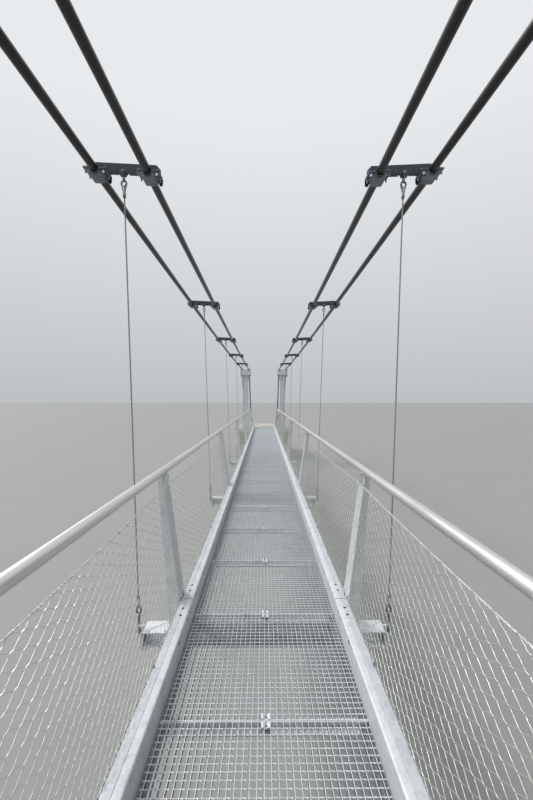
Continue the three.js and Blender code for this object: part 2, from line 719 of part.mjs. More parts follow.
for (const side of ['right', 'left']) {
  const turned = side === 'left';
  const group = new THREE.Group();
  group.rotation.z = turned ? Math.PI : 0;
  group.add(
    named(`kerb_${side}`, sideShapes.kerb, galvanised),
    named(`handrail_${side}`, sideShapes.handrail, stainless),
    named(`safety_net_${side}`, sideShapes.net, wire),
    named(`main_cable_inner_${side}`, sideShapes.inner, lockedCoil),
    named(`main_cable_outer_${side}`, sideShapes.outer, lockedCoil),
  );
  hangerStations.forEach((station, index) => {
    const number = turned ? hangerStations.length - index : index + 1;
    const clamp = named(`cable_clamp_${side}_${number}`, clampShapes[index], clampPaint);
    const rope = named(`hanger_${side}_${number}`, hangerShapes[index], stainless);
    clamp.position.y = station;
    rope.position.y = station;
    group.add(clamp, rope);
  });
  for (const end of ['north', 'south']) {
    const farEnd = (end === 'south') !== turned;
    const endPostMesh = named(`end_post_${side}_${end}`, sideShapes.post, galvanised);
    endPostMesh.position.y = farEnd ? -halfSpan : halfSpan;
    group.add(endPostMesh);
    for (const [label, shape] of [['pylon', sideShapes.pylon], ['anchor', sideShapes.anchor]]) {
      const mesh = named(`${label}_${side}_${end}`, farEnd ? mirrored(shape) : shape, galvanised);
      group.add(mesh);
    }
  }
  deckLevel.add(group);
}

function mirrored(geometry) {
  const copy = geometry.clone().scale(1, -1, 1);
  const index = copy.index.array;
  for (let i = 0; i < index.length; i += 3) {
    [index[i], index[i + 1]] = [index[i + 1], index[i]];
  }
  return copy;
}

export default bridge;
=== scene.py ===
import math
from types import SimpleNamespace as Sizes

import bmesh
import bpy
from mathutils import Matrix, Vector


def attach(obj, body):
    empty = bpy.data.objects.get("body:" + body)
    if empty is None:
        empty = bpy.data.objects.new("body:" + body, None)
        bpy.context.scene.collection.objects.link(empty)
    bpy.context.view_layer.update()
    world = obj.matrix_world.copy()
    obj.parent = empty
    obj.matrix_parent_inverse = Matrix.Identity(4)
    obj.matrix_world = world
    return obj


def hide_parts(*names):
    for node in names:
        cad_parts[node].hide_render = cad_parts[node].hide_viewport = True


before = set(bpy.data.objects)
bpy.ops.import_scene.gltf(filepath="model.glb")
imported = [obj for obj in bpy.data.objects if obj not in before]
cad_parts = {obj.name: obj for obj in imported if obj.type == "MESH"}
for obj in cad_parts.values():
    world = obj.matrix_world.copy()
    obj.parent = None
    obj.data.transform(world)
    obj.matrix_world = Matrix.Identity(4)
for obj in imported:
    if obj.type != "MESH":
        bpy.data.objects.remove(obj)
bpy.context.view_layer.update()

# Driving sizes in metres; heights are above the top of the gratings
DECK = 1.8
BAY = 4.0
BAYS = 6
HALF_SPAN = BAY * BAYS / 2
STATIONS = [-HALF_SPAN + bay * BAY for bay in range(1, BAYS)]
DECK_END = HALF_SPAN + 0.09
HAIR = 0.0005

KERB = Sizes(
    inner=0.560, outer=0.660, top=0.150, bottom=-0.100, plate=0.008, bend=0.011, fall=0.0014, groove=0.0045)
KERB_JOINT = Sizes(
    offset=-0.05, slit=0.010, holes=(-0.222, -0.130, 0.130, 0.222), radius=0.0105, web_height=0.117,
    plate=(-0.28, 0.29))
KERB_SLOT = Sizes(offset=0.46, pitch=1.0, height=0.117, size=(0.036, 0.022))
LEDGE = Sizes(reach=0.040, plate=0.006)

GRATE = Sizes(
    panels=4, pitch=1.0, panel=0.9906, half_width=KERB.inner - 0.004, bar_pitch=0.0336, bar=0.003,
    depth=0.030, rod_pitch=0.0381, rod=0.0036, slide=0.003)
BEARER = Sizes(half=0.518, flange=0.110, plate=0.008, web=0.008, depth=0.048)

BEAM = Sizes(half=0.954, width=0.160, depth=0.118, flange=0.010, web=0.008, top=-0.1003)
BRACKET = Sizes(top=-0.088, foot=-0.286)
LOWER_PIN = Sizes(x=0.999, z=-0.124, hole=0.009)
POST = Sizes(
    depth=0.160, flange=0.008, web=0.010, foot_inner=0.6603, foot_outer=0.757, lean_start=0.158,
    flange_top_x=0.780, flange_top=1.030, neck_inner=0.805, neck_depth=0.054, top_outer=0.858, top=1.128)
CLEAT = Sizes(
    inner=0.764, outer=0.795, top=1.126, plate=0.008, notch=(0.7728, 1.058),
    hole_x=0.781, holes=(1.079, 1.106), radius=0.0068)
RAIL = Sizes(x=0.812, z=1.150, radius=0.03015, end=DECK_END + 0.02, sleeve=0.245)

NET = Sizes(foot=(0.655, 0.1503), top=(0.768, 1.053), sag=0.036, end=HALF_SPAN + 0.08, first_knot=0.022)
NET_RISE = Vector((NET.top[0] - NET.foot[0], 0, NET.top[1] - NET.foot[1]))
NET_HEIGHT = NET_RISE.length
NET_MESH = Sizes(along=0.120, up=0.0277, jog=0.0065, first_row=0.018, wire=0.0013)
NET_HOOKS = Sizes(pitch=0.8, radius=0.008, wire=0.0022)
HOOK_X = 0.650
EDGE_ROPE_RADIUS = 0.004

CABLE_X = (0.918, 1.336)
CABLE_RISE = (-0.010, 0.010)
CABLE_RADIUS = 0.032
CABLE_MIDDLE = 3.480
CABLE_SAG = 0.120
SADDLE_RADIUS = 0.900
SADDLE_START = HALF_SPAN - 0.330
SPAN_SLOPE = math.atan(2 * CABLE_SAG * SADDLE_START / HALF_SPAN ** 2)
BACKSTAY = math.radians(45)
ANCHOR_PIN_HEIGHT = 0.300
PAIR_X = sum(CABLE_X) / 2
PAIR_REACH = (CABLE_X[1] - CABLE_X[0]) / 2
PAIR_TILT = math.atan((CABLE_RISE[1] - CABLE_RISE[0]) / (CABLE_X[1] - CABLE_X[0]))
SOCKET = Sizes(start=0.160, length=0.380)

CLAMP = Sizes(
    bore=CABLE_RADIUS + 0.0006, ear=0.090, bolt_x=0.076, bolt_y=0.040,
    strap_half=0.066, cap_half=0.060, housing_half=0.057)
UPPER_PIN_RISE = 0.012

SHACKLE = Sizes(jaw=0.0115, eye_half=0.006, bar=0.0055, pin_half=0.031, lower_reach=0.140, upper_reach=0.072)
THIMBLE = Sizes(length=0.080, overlap=0.009)

PYLON = Sizes(base=(0.250, 0.320), plate=0.040, foot=(0.150, 0.190), y=HALF_SPAN)
KEEPER = Sizes(slope=(0.046, 0.030), lean=math.radians(6))
ANCHOR_PLATE = 0.040
ABUTMENT = Sizes(side=1.670, front=11.630, back=16.300, top=1.600)
BOARDS = Sizes(rise=0.53, side=1.2, front=1.1)

HERE = Matrix.Identity(4)
TURNED = Matrix.Rotation(math.pi, 4, "Z")
LIFT = Matrix.Translation((0, 0, DECK))
SIDES = {"right": LIFT, "left": LIFT @ TURNED}


# Node trees

class Value:
    """A socket that counts like a number, by math nodes."""

    def __init__(self, nodes, socket):
        self.nodes = nodes
        self.socket = socket

    def math(self, operation, other=0.0):
        return self.nodes.add("ShaderNodeMath", {0: self, 1: other}, operation=operation)

    def __add__(self, other):
        return self.math("ADD", other)

    def __sub__(self, other):
        return self.math("SUBTRACT", other)

    def __mul__(self, other):
        return self.math("MULTIPLY", other)

    def __truediv__(self, other):
        return self.math("DIVIDE", other)

    def __mod__(self, other):
        return self.math("MODULO", other)

    def __neg__(self):
        return self * -1.0


class Nodes:
    """A node tree that is built by calls; an input that is a Value is linked, any other is set."""

    def __init__(self, group):
        self.group = group

    def put(self, value, socket):
        if isinstance(value, Value):
            self.group.links.new(value.socket, socket)
        else:
            socket.default_value = value

    def add(self, kind, inputs=None, out=None, **settings):
        node = self.group.nodes.new(kind)
        for key, value in settings.items():
            setattr(node, key, value)
        for key, value in (inputs or {}).items():
            self.put(value, node.inputs[key])
        if out is None:
            out = next(i for i, socket in enumerate(node.outputs) if socket.enabled)
        return Value(self, node.outputs[out])

    def xyz(self, x=0.0, y=0.0, z=0.0):
        return self.add("ShaderNodeCombineXYZ", {0: x, 1: y, 2: z})

    def part(self, vector, axis):
        return self.add("ShaderNodeSeparateXYZ", {0: vector}, out=axis)

    def product(self, colour, share):
        return self.add(
            "ShaderNodeMix", {0: 1.0, 6: colour, 7: share}, data_type="RGBA", blend_type="MULTIPLY")

    def ramp(self, value, *stops):
        """Colours or grey values between (place, value) stops."""
        ramped = self.add("ShaderNodeValToRGB", {"Fac": value})
        elements = ramped.socket.node.color_ramp.elements
        while len(elements) < len(stops):
            elements.new(0.5)
        for element, (place, tone) in zip(elements, stops):
            element.position = place
            element.color = (*tone, 1) if isinstance(tone, tuple) else (tone, tone, tone, 1)
        return ramped


class Grower(Nodes):
    """A Geometry Nodes tree with named sizes and their usual values; a whole number makes a count."""

    def __init__(self, name, **sizes):
        super().__init__(bpy.data.node_groups.new(name, "GeometryNodeTree"))
        self.sizes = sizes
        self.keys = {}
        interface = self.group.interface
        interface.new_socket("Geometry", in_out="OUTPUT", socket_type="NodeSocketGeometry")
        kinds = {label: "Int" if isinstance(size, int) else "Float" for label, size in sizes.items()}
        for label, kind in {"Geometry": "Geometry", **kinds, "finish": "Material"}.items():
            socket = interface.new_socket(label, in_out="INPUT", socket_type="NodeSocket" + kind)
            self.keys[label] = socket.identifier
        self.start = self.group.nodes.new("NodeGroupInput")

    def __getitem__(self, label):
        return Value(self, self.start.outputs[label])

    def end(self, geometry):
        whole = self.realized(geometry)
        dressed = self.add("GeometryNodeSetMaterial", {"Geometry": whole, "Material": self["finish"]})
        last = self.group.nodes.new("NodeGroupOutput")
        self.put(dressed, last.inputs["Geometry"])
        return self

    def realized(self, geometry):
        return self.add("GeometryNodeRealizeInstances", {0: geometry})

    def box(self, x, y, z):
        return self.add("GeometryNodeMeshCube", {"Size": self.xyz(x, y, z)})

    def cylinder(self, sides, radius, depth):
        return self.add("GeometryNodeMeshCylinder", {"Vertices": sides, "Radius": radius, "Depth": depth})

    def cone(self, sides, bottom, top, depth):
        return self.add("GeometryNodeMeshCone", {
            "Vertices": sides, "Radius Bottom": bottom, "Radius Top": top, "Depth": depth})

    def ring(self, sides, radius):
        return self.add("GeometryNodeCurvePrimitiveCircle", {"Resolution": sides, "Radius": radius})

    def curve(self, mesh):
        return self.add("GeometryNodeMeshToCurve", {"Mesh": mesh})

    def twisted(self, curve, step, tilt):
        """The curve with points a step apart, turned about itself."""
        even = self.add("GeometryNodeResampleCurve", {"Curve": curve, "Length": step}, mode="LENGTH")
        return self.add("GeometryNodeSetCurveTilt", {"Curve": even, "Tilt": tilt})

    def swept(self, curve, profile):
        return self.add("GeometryNodeCurveToMesh", {
            "Curve": curve, "Profile Curve": profile, "Fill Caps": True})

    def kept(self, geometry, name, value, data_type):
        """The geometry with a value stored on its points."""
        return self.add("GeometryNodeStoreNamedAttribute", {
            "Geometry": geometry, "Name": name, "Value": value}, data_type=data_type, domain="POINT")

    def moved(self, geometry, z):
        return self.add("GeometryNodeTransform", {"Geometry": geometry, "Translation": self.xyz(z=z)})

    def placed(self, geometry, **inputs):
        return self.add("GeometryNodeSetPosition", {"Geometry": geometry, **inputs})

    def row(self, count, start, offset):
        return self.add("GeometryNodeMeshLine", {
            "Count": count, "Start Location": self.xyz(*start), "Offset": self.xyz(*offset)})

    def copies(self, points, shape, **inputs):
        return self.add("GeometryNodeInstanceOnPoints", {"Points": points, "Instance": shape, **inputs})

    def together(self, *parts):
        node = self.group.nodes.new("GeometryNodeJoinGeometry")
        for part in reversed(parts):
            self.put(part, node.inputs[0])
        return Value(self, node.outputs[0])

    def any_between(self, low, high, seed):
        """A random vector for each point."""
        return self.add(
            "FunctionNodeRandomValue", {"Min": low, "Max": high, "Seed": seed}, data_type="FLOAT_VECTOR")


def grown(tree, finish, seed=None, **sizes):
    """What a tree grows from a seed mesh, as a plain object."""
    start = bpy.data.objects.new("seed", seed or bpy.data.meshes.new("seed"))
    bpy.context.scene.collection.objects.link(start)
    modifier = start.modifiers.new("grow", "NODES")
    modifier.node_group = tree.group
    for label, value in {**tree.sizes, **sizes, "finish": finish}.items():
        modifier[tree.keys[label]] = value
    mesh = evaluated(start)
    dropped(start)
    return shown(mesh)


# Meshes

def evaluated(piece):
    """The mesh of an object as its modifiers leave it."""
    depsgraph = bpy.context.evaluated_depsgraph_get()
    return bpy.data.meshes.new_from_object(
        piece.evaluated_get(depsgraph), preserve_all_data_layers=True, depsgraph=depsgraph)


def at(x, y, z):
    return Matrix.Translation((x, y, z))


def framed(x, y, z, origin):
    """A matrix from its three axes and its origin."""
    return at(*origin) @ Matrix((x, y, z)).transposed().to_4x4()


def towards(place, direction):
    """A matrix that sets a piece drawn along Z at a place, along a direction."""
    turn = Vector((0, 0, 1)).rotation_difference(Vector(direction).normalized())
    return at(*place) @ turn.to_matrix().to_4x4()


def shown(mesh):
    piece = bpy.data.objects.new(mesh.name, mesh)
    bpy.context.scene.collection.objects.link(piece)
    return piece


def dropped(*pieces):
    for piece in pieces:
        bpy.data.objects.remove(piece)


def smooth(piece, angle):
    mesh = piece.data
    mesh.polygons.foreach_set("use_smooth", [True] * len(mesh.polygons))
    mesh.set_sharp_from_angle(angle=math.radians(angle))
    return piece


def from_bmesh(bm, finish):
    mesh = bpy.data.meshes.new("shape")
    bm.to_mesh(mesh)
    bm.free()
    mesh.materials.append(finish)
    return shown(mesh)


def moved(piece, matrix):
    piece.data.transform(matrix)
    return piece


def copied(piece, matrix=HERE):
    return moved(shown(piece.data.copy()), matrix)


def joined(pieces):
    first = pieces[0]
    with bpy.context.temp_override(active_object=first, selected_editable_objects=pieces):
        bpy.ops.object.join()
    return first


def finished(name, parts, place, node):
    """Joins parts into one named piece at a place, which stands for a CAD node."""
    piece = moved(joined(parts), place)
    piece.name = name
    piece.data.name = name
    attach(piece, "root")
    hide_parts(node)


PLANES = {
    "XZ": Matrix(((1, 0, 0, 0), (0, 0, -1, 0), (0, 1, 0, 0), (0, 0, 0, 1))),
    "YZ": Matrix(((0, 0, 1, 0), (1, 0, 0, 0), (0, 1, 0, 0), (0, 0, 0, 1))),
    "XY": HERE,
}


def about(middle, half):
    return (middle - half, middle + half)


def arc(u, v, radius, start, stop, steps=14):
    """Points on a circle about (u, v), between two angles in degrees."""
    turns = [math.radians(start + (stop - start) * i / steps) for i in range(steps + 1)]
    return [(u + radius * math.cos(turn), v + radius * math.sin(turn)) for turn in turns]


def circle(u, v, radius, sides=14):
    return arc(u, v, radius, 0, 360, sides)[:-1]


def obround(long, tall):
    """A slot with round ends, lying along the first axis."""
    end = arc((long - tall) / 2, 0, tall / 2, -90, 90, 8)
    return end + [(-u, -v) for u, v in end]


def two_sided(right, between=()):
    """An outline from its right half, with any points that lie between the far ends of its halves."""
    return [*right, *between, *((-u, v) for u, v in reversed(right))]


def plate(finish, outline, low, high, plane="XZ", holes=(), bevel=0.0015):
    """A plate with broken edges, drawn in a plane; low and high are its faces along the third axis."""
    bm = bmesh.new()
    for loop in [outline, *holes]:
        corners = [bm.verts.new((u, v, 0)) for u, v in loop]
        for corner, after in zip(corners, corners[1:] + corners[:1]):
            bm.edges.new((corner, after))
    bmesh.ops.triangle_fill(bm, use_beauty=True, use_dissolve=False, edges=bm.edges)
    bmesh.ops.dissolve_limit(bm, angle_limit=0.01, verts=bm.verts, edges=bm.edges)
    face = bmesh.ops.extrude_face_region(bm, geom=bm.faces[:])
    raised = [part for part in face["geom"] if isinstance(part, bmesh.types.BMVert)]
    bmesh.ops.translate(bm, verts=raised, vec=(0, 0, high - low))
    bmesh.ops.recalc_face_normals(bm, faces=bm.faces)
    if bevel:
        broken = [edge for edge in bm.edges if edge.calc_face_angle(0) > math.radians(40)]
        bmesh.ops.bevel(bm, geom=broken, offset=bevel, segments=1, affect="EDGES", clamp_overlap=True)
    bm.transform(PLANES[plane] @ at(0, 0, -high if plane == "XZ" else low))
    return smooth(from_bmesh(bm, finish), 30)


def block(finish, x, y, z, bevel=0.0015):
    """A bar between two values on each axis."""
    return plate(finish, [(x[0], z[0]), (x[1], z[0]), (x[1], z[1]), (x[0], z[1])], *sorted(y), bevel=bevel)


def turned_piece(finish, profile, sides, angle=30):
    """A closed round piece about Z from its (radius, height) profile, which starts and ends on the axis."""
    bm = bmesh.new()
    corners = [bm.verts.new((radius, 0, height)) for radius, height in profile]
    edges = [bm.edges.new(pair) for pair in zip(corners, corners[1:])]
    bmesh.ops.spin(bm, geom=corners + edges, cent=(0, 0, 0), axis=(0, 0, 1), angle=2 * math.pi, steps=sides)
    bmesh.ops.remove_doubles(bm, verts=bm.verts, dist=1e-6)
    bmesh.ops.recalc_face_normals(bm, faces=bm.faces)
    return smooth(from_bmesh(bm, finish), angle)


# Ropes, bars and bolts

def rope_tree():
    """A stranded rope along the seed path."""
    tree = Grower("stranded_rope", radius=0.006, lobes=6, lay=0.12, step=0.012)
    length = tree.add("GeometryNodeSplineParameter", out="Length")
    path = tree.twisted(tree.curve(tree["Geometry"]), tree["step"], length / tree["lay"] * (2 * math.pi))
    lobed = tree.add("GeometryNodeCurveStar", {
        "Points": tree["lobes"], "Inner Radius": tree["radius"] * 0.80, "Outer Radius": tree["radius"]})
    return tree.end(tree.swept(path, lobed))


def bar_tree():
    """A round bar or cable along the seed path, which keeps how far along and around each point is."""
    tree = Grower("round_bar", radius=0.01, sides=10)
    length = tree.add("GeometryNodeSplineParameter", out="Length")
    path = tree.kept(tree.curve(tree["Geometry"]), "along", length, "FLOAT")
    place = tree.add("GeometryNodeInputPosition")
    ring = tree.kept(tree.ring(tree["sides"], tree["radius"]), "around", place, "FLOAT_VECTOR")
    return tree.end(tree.swept(path, ring))


def bolt_tree():
    """A hexagon bolt head on its washer at each seed point, turned to face the point's own way."""
    tree = Grower("hexagon_bolts", washer=0.016, head=0.0125, height=0.0096)
    thick = 0.003
    top = tree["height"] + thick
    washer = tree.moved(tree.cylinder(14, tree["washer"], thick), thick / 2)
    body = tree.moved(tree.cylinder(6, tree["head"], top), top * 0.5)
    crown = tree.moved(tree.cone(12, tree["head"] * 0.86, tree["head"] * 0.70, thick / 2), top)
    facing = tree.add("GeometryNodeInputNamedAttribute", {"Name": "facing"}, data_type="FLOAT_VECTOR")
    turn = tree.add("FunctionNodeAlignRotationToVector", {"Vector": facing}, axis="Z")
    spots = tree.add("GeometryNodeMeshToPoints", {"Mesh": tree["Geometry"]})
    return tree.end(tree.copies(spots, tree.together(washer, body, crown), Rotation=turn))


ROPES = rope_tree()
BARS = bar_tree()
BOLTS = bolt_tree()


def line(points):
    """A path through points, as a seed."""
    mesh = bpy.data.meshes.new("path")
    mesh.from_pydata(points, [(i, i + 1) for i in range(len(points) - 1)], [])
    return mesh


def rope(finish, points, **sizes):
    return smooth(grown(ROPES, finish, line(points), **sizes), 60)


def bar(finish, points, radius, sides=10):
    return smooth(grown(BARS, finish, line(points), radius=radius, sides=sides), 50)


def bolts(finish, spots, size):
    """Bolt heads at spots, a list of (place, facing)."""
    mesh = bpy.data.meshes.new("spots")
    mesh.from_pydata([place for place, _ in spots], [], [])
    facing = mesh.attributes.new("facing", "FLOAT_VECTOR", "POINT")
    for value, (_, direction) in zip(facing.data, spots):
        value.vector = direction
    return grown(BOLTS, finish, mesh, washer=size, head=size * 0.78, height=size * 0.6)


# Finishes

class Finish(Nodes):
    """A material's shader tree; an item that is set goes to the shader's input of that name."""

    def __init__(self, name, colour, roughness, metallic=0.0):
        self.made = bpy.data.materials.new(name)
        self.made.use_nodes = True
        self.made.diffuse_color = (*colour, 1)
        super().__init__(self.made.node_tree)
        self.shader = self.group.nodes["Principled BSDF"]
        self.colour = colour
        self["Base Color"] = (*colour, 1)
        self["Roughness"] = roughness
        self["Metallic"] = metallic
        self.place = self.add("ShaderNodeTexCoord", out="Object")

    def __setitem__(self, name, value):
        self.put(value, self.shader.inputs[name])

    def tones(self, value, *stops):
        """The base colour, lighter or darker between (place, factor) stops."""
        return self.ramp(value, *[
            (place, tuple(min(1.0, part * factor) for part in self.colour)) for place, factor in stops])

    def noise(self, scale, detail=4.0, roughness=0.55):
        return self.add("ShaderNodeTexNoise", {
            "Vector": self.place, "Scale": scale, "Detail": detail, "Roughness": roughness})

    def streaks(self, scales, detail=3.0):
        """Noise with its own scale along each axis, so that it runs along the axis with the least."""
        place = self.add("ShaderNodeMapping", {"Vector": self.place, "Scale": scales})
        return self.add("ShaderNodeTexNoise", {
            "Vector": place, "Scale": 1.0, "Detail": detail, "Roughness": 0.55})

    def cells(self, scale, out):
        return self.add("ShaderNodeTexVoronoi", {"Vector": self.place, "Scale": scale}, out=out)

    def bump(self, height, strength, distance):
        self["Normal"] = self.add("ShaderNodeBump", {
            "Height": height, "Strength": strength, "Distance": distance})


def zinc(name, colour, roughness=0.5, metallic=0.15, sides=1.0):
    """Hot-dip zinc: spangles, dull clouds and run marks; sides below 1 paints shade on faces that look across
    X.
    """
    finish = Finish(name, colour, roughness, metallic)
    spangle = finish.add("ShaderNodeRGBToBW", {"Color": finish.cells(70.0, "Color")})
    blend = finish.noise(9.0, 6.0, 0.6) * 0.6 + spangle * 0.2 + finish.streaks((40.0, 40.0, 3.0)) * 0.2
    tone = finish.tones(blend, (0.30, 0.76), (0.50, 1.0), (0.70, 1.12))
    # Painted shade: faces turned towards ±X take their colour times sides, darker as if out of the light.
    if sides < 1.0:
        across = finish.part(finish.add("ShaderNodeNewGeometry", out="Normal"), "X")
        tone = finish.product(tone, finish.ramp(across.math("ABSOLUTE"), (0.5, 1.0), (0.8, sides)))
    finish["Base Color"] = tone
    finish["Roughness"] = finish.ramp(blend, (0.3, roughness + 0.12), (0.7, roughness - 0.10))
    finish.bump(finish.noise(160.0, 3.0), 0.12, 0.001)
    return finish.made


def brushed_tube(name, colour):
    """Stainless tube, brushed along its length."""
    finish = Finish(name, colour, 0.34, 0.9)
    grain = finish.streaks((900.0, 6.0, 900.0))
    finish["Base Color"] = finish.tones(grain, (0.3, 0.88), (0.7, 1.05))
    finish["Roughness"] = finish.ramp(finish.streaks((14.0, 2.0, 14.0), 4.0), (0.3, 0.28), (0.7, 0.44))
    finish.bump(grain, 0.08, 0.0004)
    return finish.made


def bright_wire(name, colour, roughness=0.38, metallic=0.3):
    """Drawn wire with a little grime between the strands."""
    finish = Finish(name, colour, roughness, metallic)
    finish["Base Color"] = finish.tones(finish.noise(60.0), (0.3, 0.7), (0.65, 1.0))
    return finish.made


def coated_cable(name, colour):
    """Dark coated cable: the outer wires show as fine slanting lines under the coat."""
    finish = Finish(name, colour, 0.32)
    wires = 30
    lay = 0.55
    around = finish.add("ShaderNodeAttribute", out="Vector", attribute_name="around")
    along = finish.add("ShaderNodeAttribute", out="Fac", attribute_name="along")
    angle = finish.part(around, "Y").math("ARCTAN2", finish.part(around, "X"))
    ridges = (angle * wires + along * (2 * math.pi * wires / lay)).math("SINE")
    stains = finish.streaks((9.0, 1.6, 9.0))
    finish["Base Color"] = finish.tones(stains, (0.30, 0.80), (0.52, 1.0), (0.75, 1.35))
    finish["Roughness"] = finish.ramp(stains, (0.3, 0.20), (0.7, 0.32))
    finish.bump(ridges, 0.03, 0.0003)
    return finish.made


def dark_paint(name, colour):
    """Satin paint over steel, with scuffs and chalky patches."""
    finish = Finish(name, colour, 0.42, 0.1)
    patches = finish.noise(22.0, 6.0, 0.65)
    finish["Base Color"] = finish.tones(patches, (0.35, 0.8), (0.55, 1.0), (0.78, 2.0))
    finish["Roughness"] = finish.ramp(patches, (0.3, 0.36), (0.7, 0.55))
    finish.bump(finish.noise(240.0, 2.0), 0.10, 0.0006)
    return finish.made


def bare_concrete(name, colour):
    """Board-marked concrete with pores, damp runs and pale bloom."""
    finish = Finish(name, colour, 0.9)
    grains = finish.noise(85.0, 3.0, 0.7)
    mixed = finish.noise(1.3, 7.0, 0.6) * 0.45 + finish.streaks((3.5, 3.5, 0.35), 5.0) * 0.40 + grains * 0.15
    finish["Base Color"] = finish.tones(mixed, (0.34, 0.72), (0.50, 1.0), (0.66, 1.14))
    boards = finish.add("ShaderNodeTexWave", {
        "Vector": finish.place, "Scale": 3.1, "Distortion": 0.4, "Detail": 2.0, "Detail Scale": 3.0},
        bands_direction="Z", wave_profile="SAW")
    pits = finish.ramp(finish.cells(34.0, "Distance"), (0.05, 0.0), (0.16, 1.0))
    finish.bump(boards * 0.25 + grains * 0.5 + pits * 0.35, 0.45, 0.004)
    return finish.made


ZINC = zinc("zinc_plate", (0.66, 0.695, 0.72))
ZINC_DARK = zinc("zinc_weathered", (0.34, 0.37, 0.385), 0.55)
# Near-black painted shade, for hole walls and the sheet under the girder's joint.
ZINC_PAINTED_SHADE = zinc("zinc_grimy", (0.055, 0.06, 0.06), 0.7)
# Rougher, darker zinc; its darkness is painted shade, for the outer half of the kerb tops.
ZINC_DULL_AND_SHADED = zinc("zinc_dulled", (0.56, 0.59, 0.615), 0.6)
# The grating's bar sides are painted in shade (sides=0.24); the bar tops keep the full tone.
ZINC_GRATE = zinc("zinc_grating", (0.78, 0.82, 0.84), 0.42, 0.2, sides=0.24)
ZINC_BRIGHT = zinc("zinc_bright", (0.90, 0.91, 0.92), 0.36, 0.2)
TUBE = brushed_tube("brushed_tube", (0.78, 0.75, 0.73))
ROPE_WIRE = bright_wire("rope_wire", (0.40, 0.41, 0.39))
NET_WIRE = bright_wire("net_wire", (0.86, 0.88, 0.80), 0.32, 0.85)
EDGE_ROPE_WIRE = bright_wire("edge_rope_wire", (0.92, 0.90, 0.85))
FERRULE = bright_wire("ferrule_metal", (0.50, 0.53, 0.54), 0.32)
SHACKLE_STEEL = bright_wire("shackle_steel", (0.20, 0.215, 0.225), 0.4)
CABLE_COAT = coated_cable("cable_coat", (0.012, 0.013, 0.009))
CLAMP_PAINT = dark_paint("clamp_paint", (0.048, 0.057, 0.078))
# The clamp's paint made lighter: painted light reflected up from the ground.
CLAMP_PAINT_LIT_FROM_BELOW = dark_paint("housing_paint", (0.17, 0.20, 0.215))
CONCRETE = bare_concrete("bare_concrete", (0.50, 0.485, 0.455))


# Camera, floor and light

def camera():
    """At eye height over the middle of the deck, level, turned a little to the right."""
    eye = 1.72
    before_first_station = 3.0
    focal_pixels = 373
    frame_height = 800
    data = bpy.data.cameras.new("camera")
    data.sensor_width = 36
    data.lens = data.sensor_width * focal_pixels / frame_height
    data.clip_start = 0.05
    data.clip_end = 1000
    seen = bpy.data.objects.new("camera", data)
    seen.location = (0, STATIONS[0] - before_first_station, DECK + eye)
    seen.rotation_euler = (math.radians(90), 0, math.radians(-0.38))
    bpy.context.scene.collection.objects.link(seen)
    bpy.context.scene.camera = seen


def floor():
    finish = Finish("pale_floor", (0.30, 0.30, 0.295), 0.85)
    finish["Base Color"] = finish.ramp(finish.noise(0.6, 3.0), (0.3, 0.295), (0.7, 0.31))
    bm = bmesh.new()
    bmesh.ops.create_grid(bm, x_segments=1, y_segments=1, size=450)
    ground = from_bmesh(bm, finish.made)
    ground.name = "floor"


def dome():
    """A studio dome, brighter overhead; it lights more from the left, but looks even to the camera."""
    even = 0.72
    world = bpy.data.worlds.new("studio")
    bpy.context.scene.world = world
    world.use_nodes = True
    nodes = Nodes(world.node_tree)
    background = world.node_tree.nodes["Background"]
    direction = nodes.add("ShaderNodeTexCoord", out="Generated")
    across = nodes.add("ShaderNodeMapRange", {
        "Value": nodes.part(direction, "X"), "From Min": -1.0, "From Max": 1.0})
    flanks = nodes.ramp(across, (0.08, 1.0), (0.22, even), (0.80, even), (0.90, 0.12))
    seen = nodes.add("ShaderNodeLightPath", out="Is Camera Ray")
    share = nodes.add("ShaderNodeMix", {0: seen, 2: flanks, 3: even}, data_type="FLOAT")
    sky = nodes.ramp(nodes.part(direction, "Z"), (0.0, (0.60, 0.62, 0.65)), (0.60, (0.95, 0.975, 1.0)))
    nodes.put(nodes.product(sky, share), background.inputs["Color"])
    nodes.put(1.18, background.inputs["Strength"])


def key_light():
    data = bpy.data.lights.new("key", "SUN")
    data.energy = 2.1
    data.angle = math.radians(14)
    data.color = (1.0, 0.98, 0.95)
    key = bpy.data.objects.new("key", data)
    key.rotation_euler = Vector((0.62, -0.48, -0.80)).to_track_quat("-Z", "Y").to_euler()
    bpy.context.scene.collection.objects.link(key)


camera()
floor()
dome()
key_light()
bpy.context.scene.view_settings.view_transform = "Standard"


# Gratings

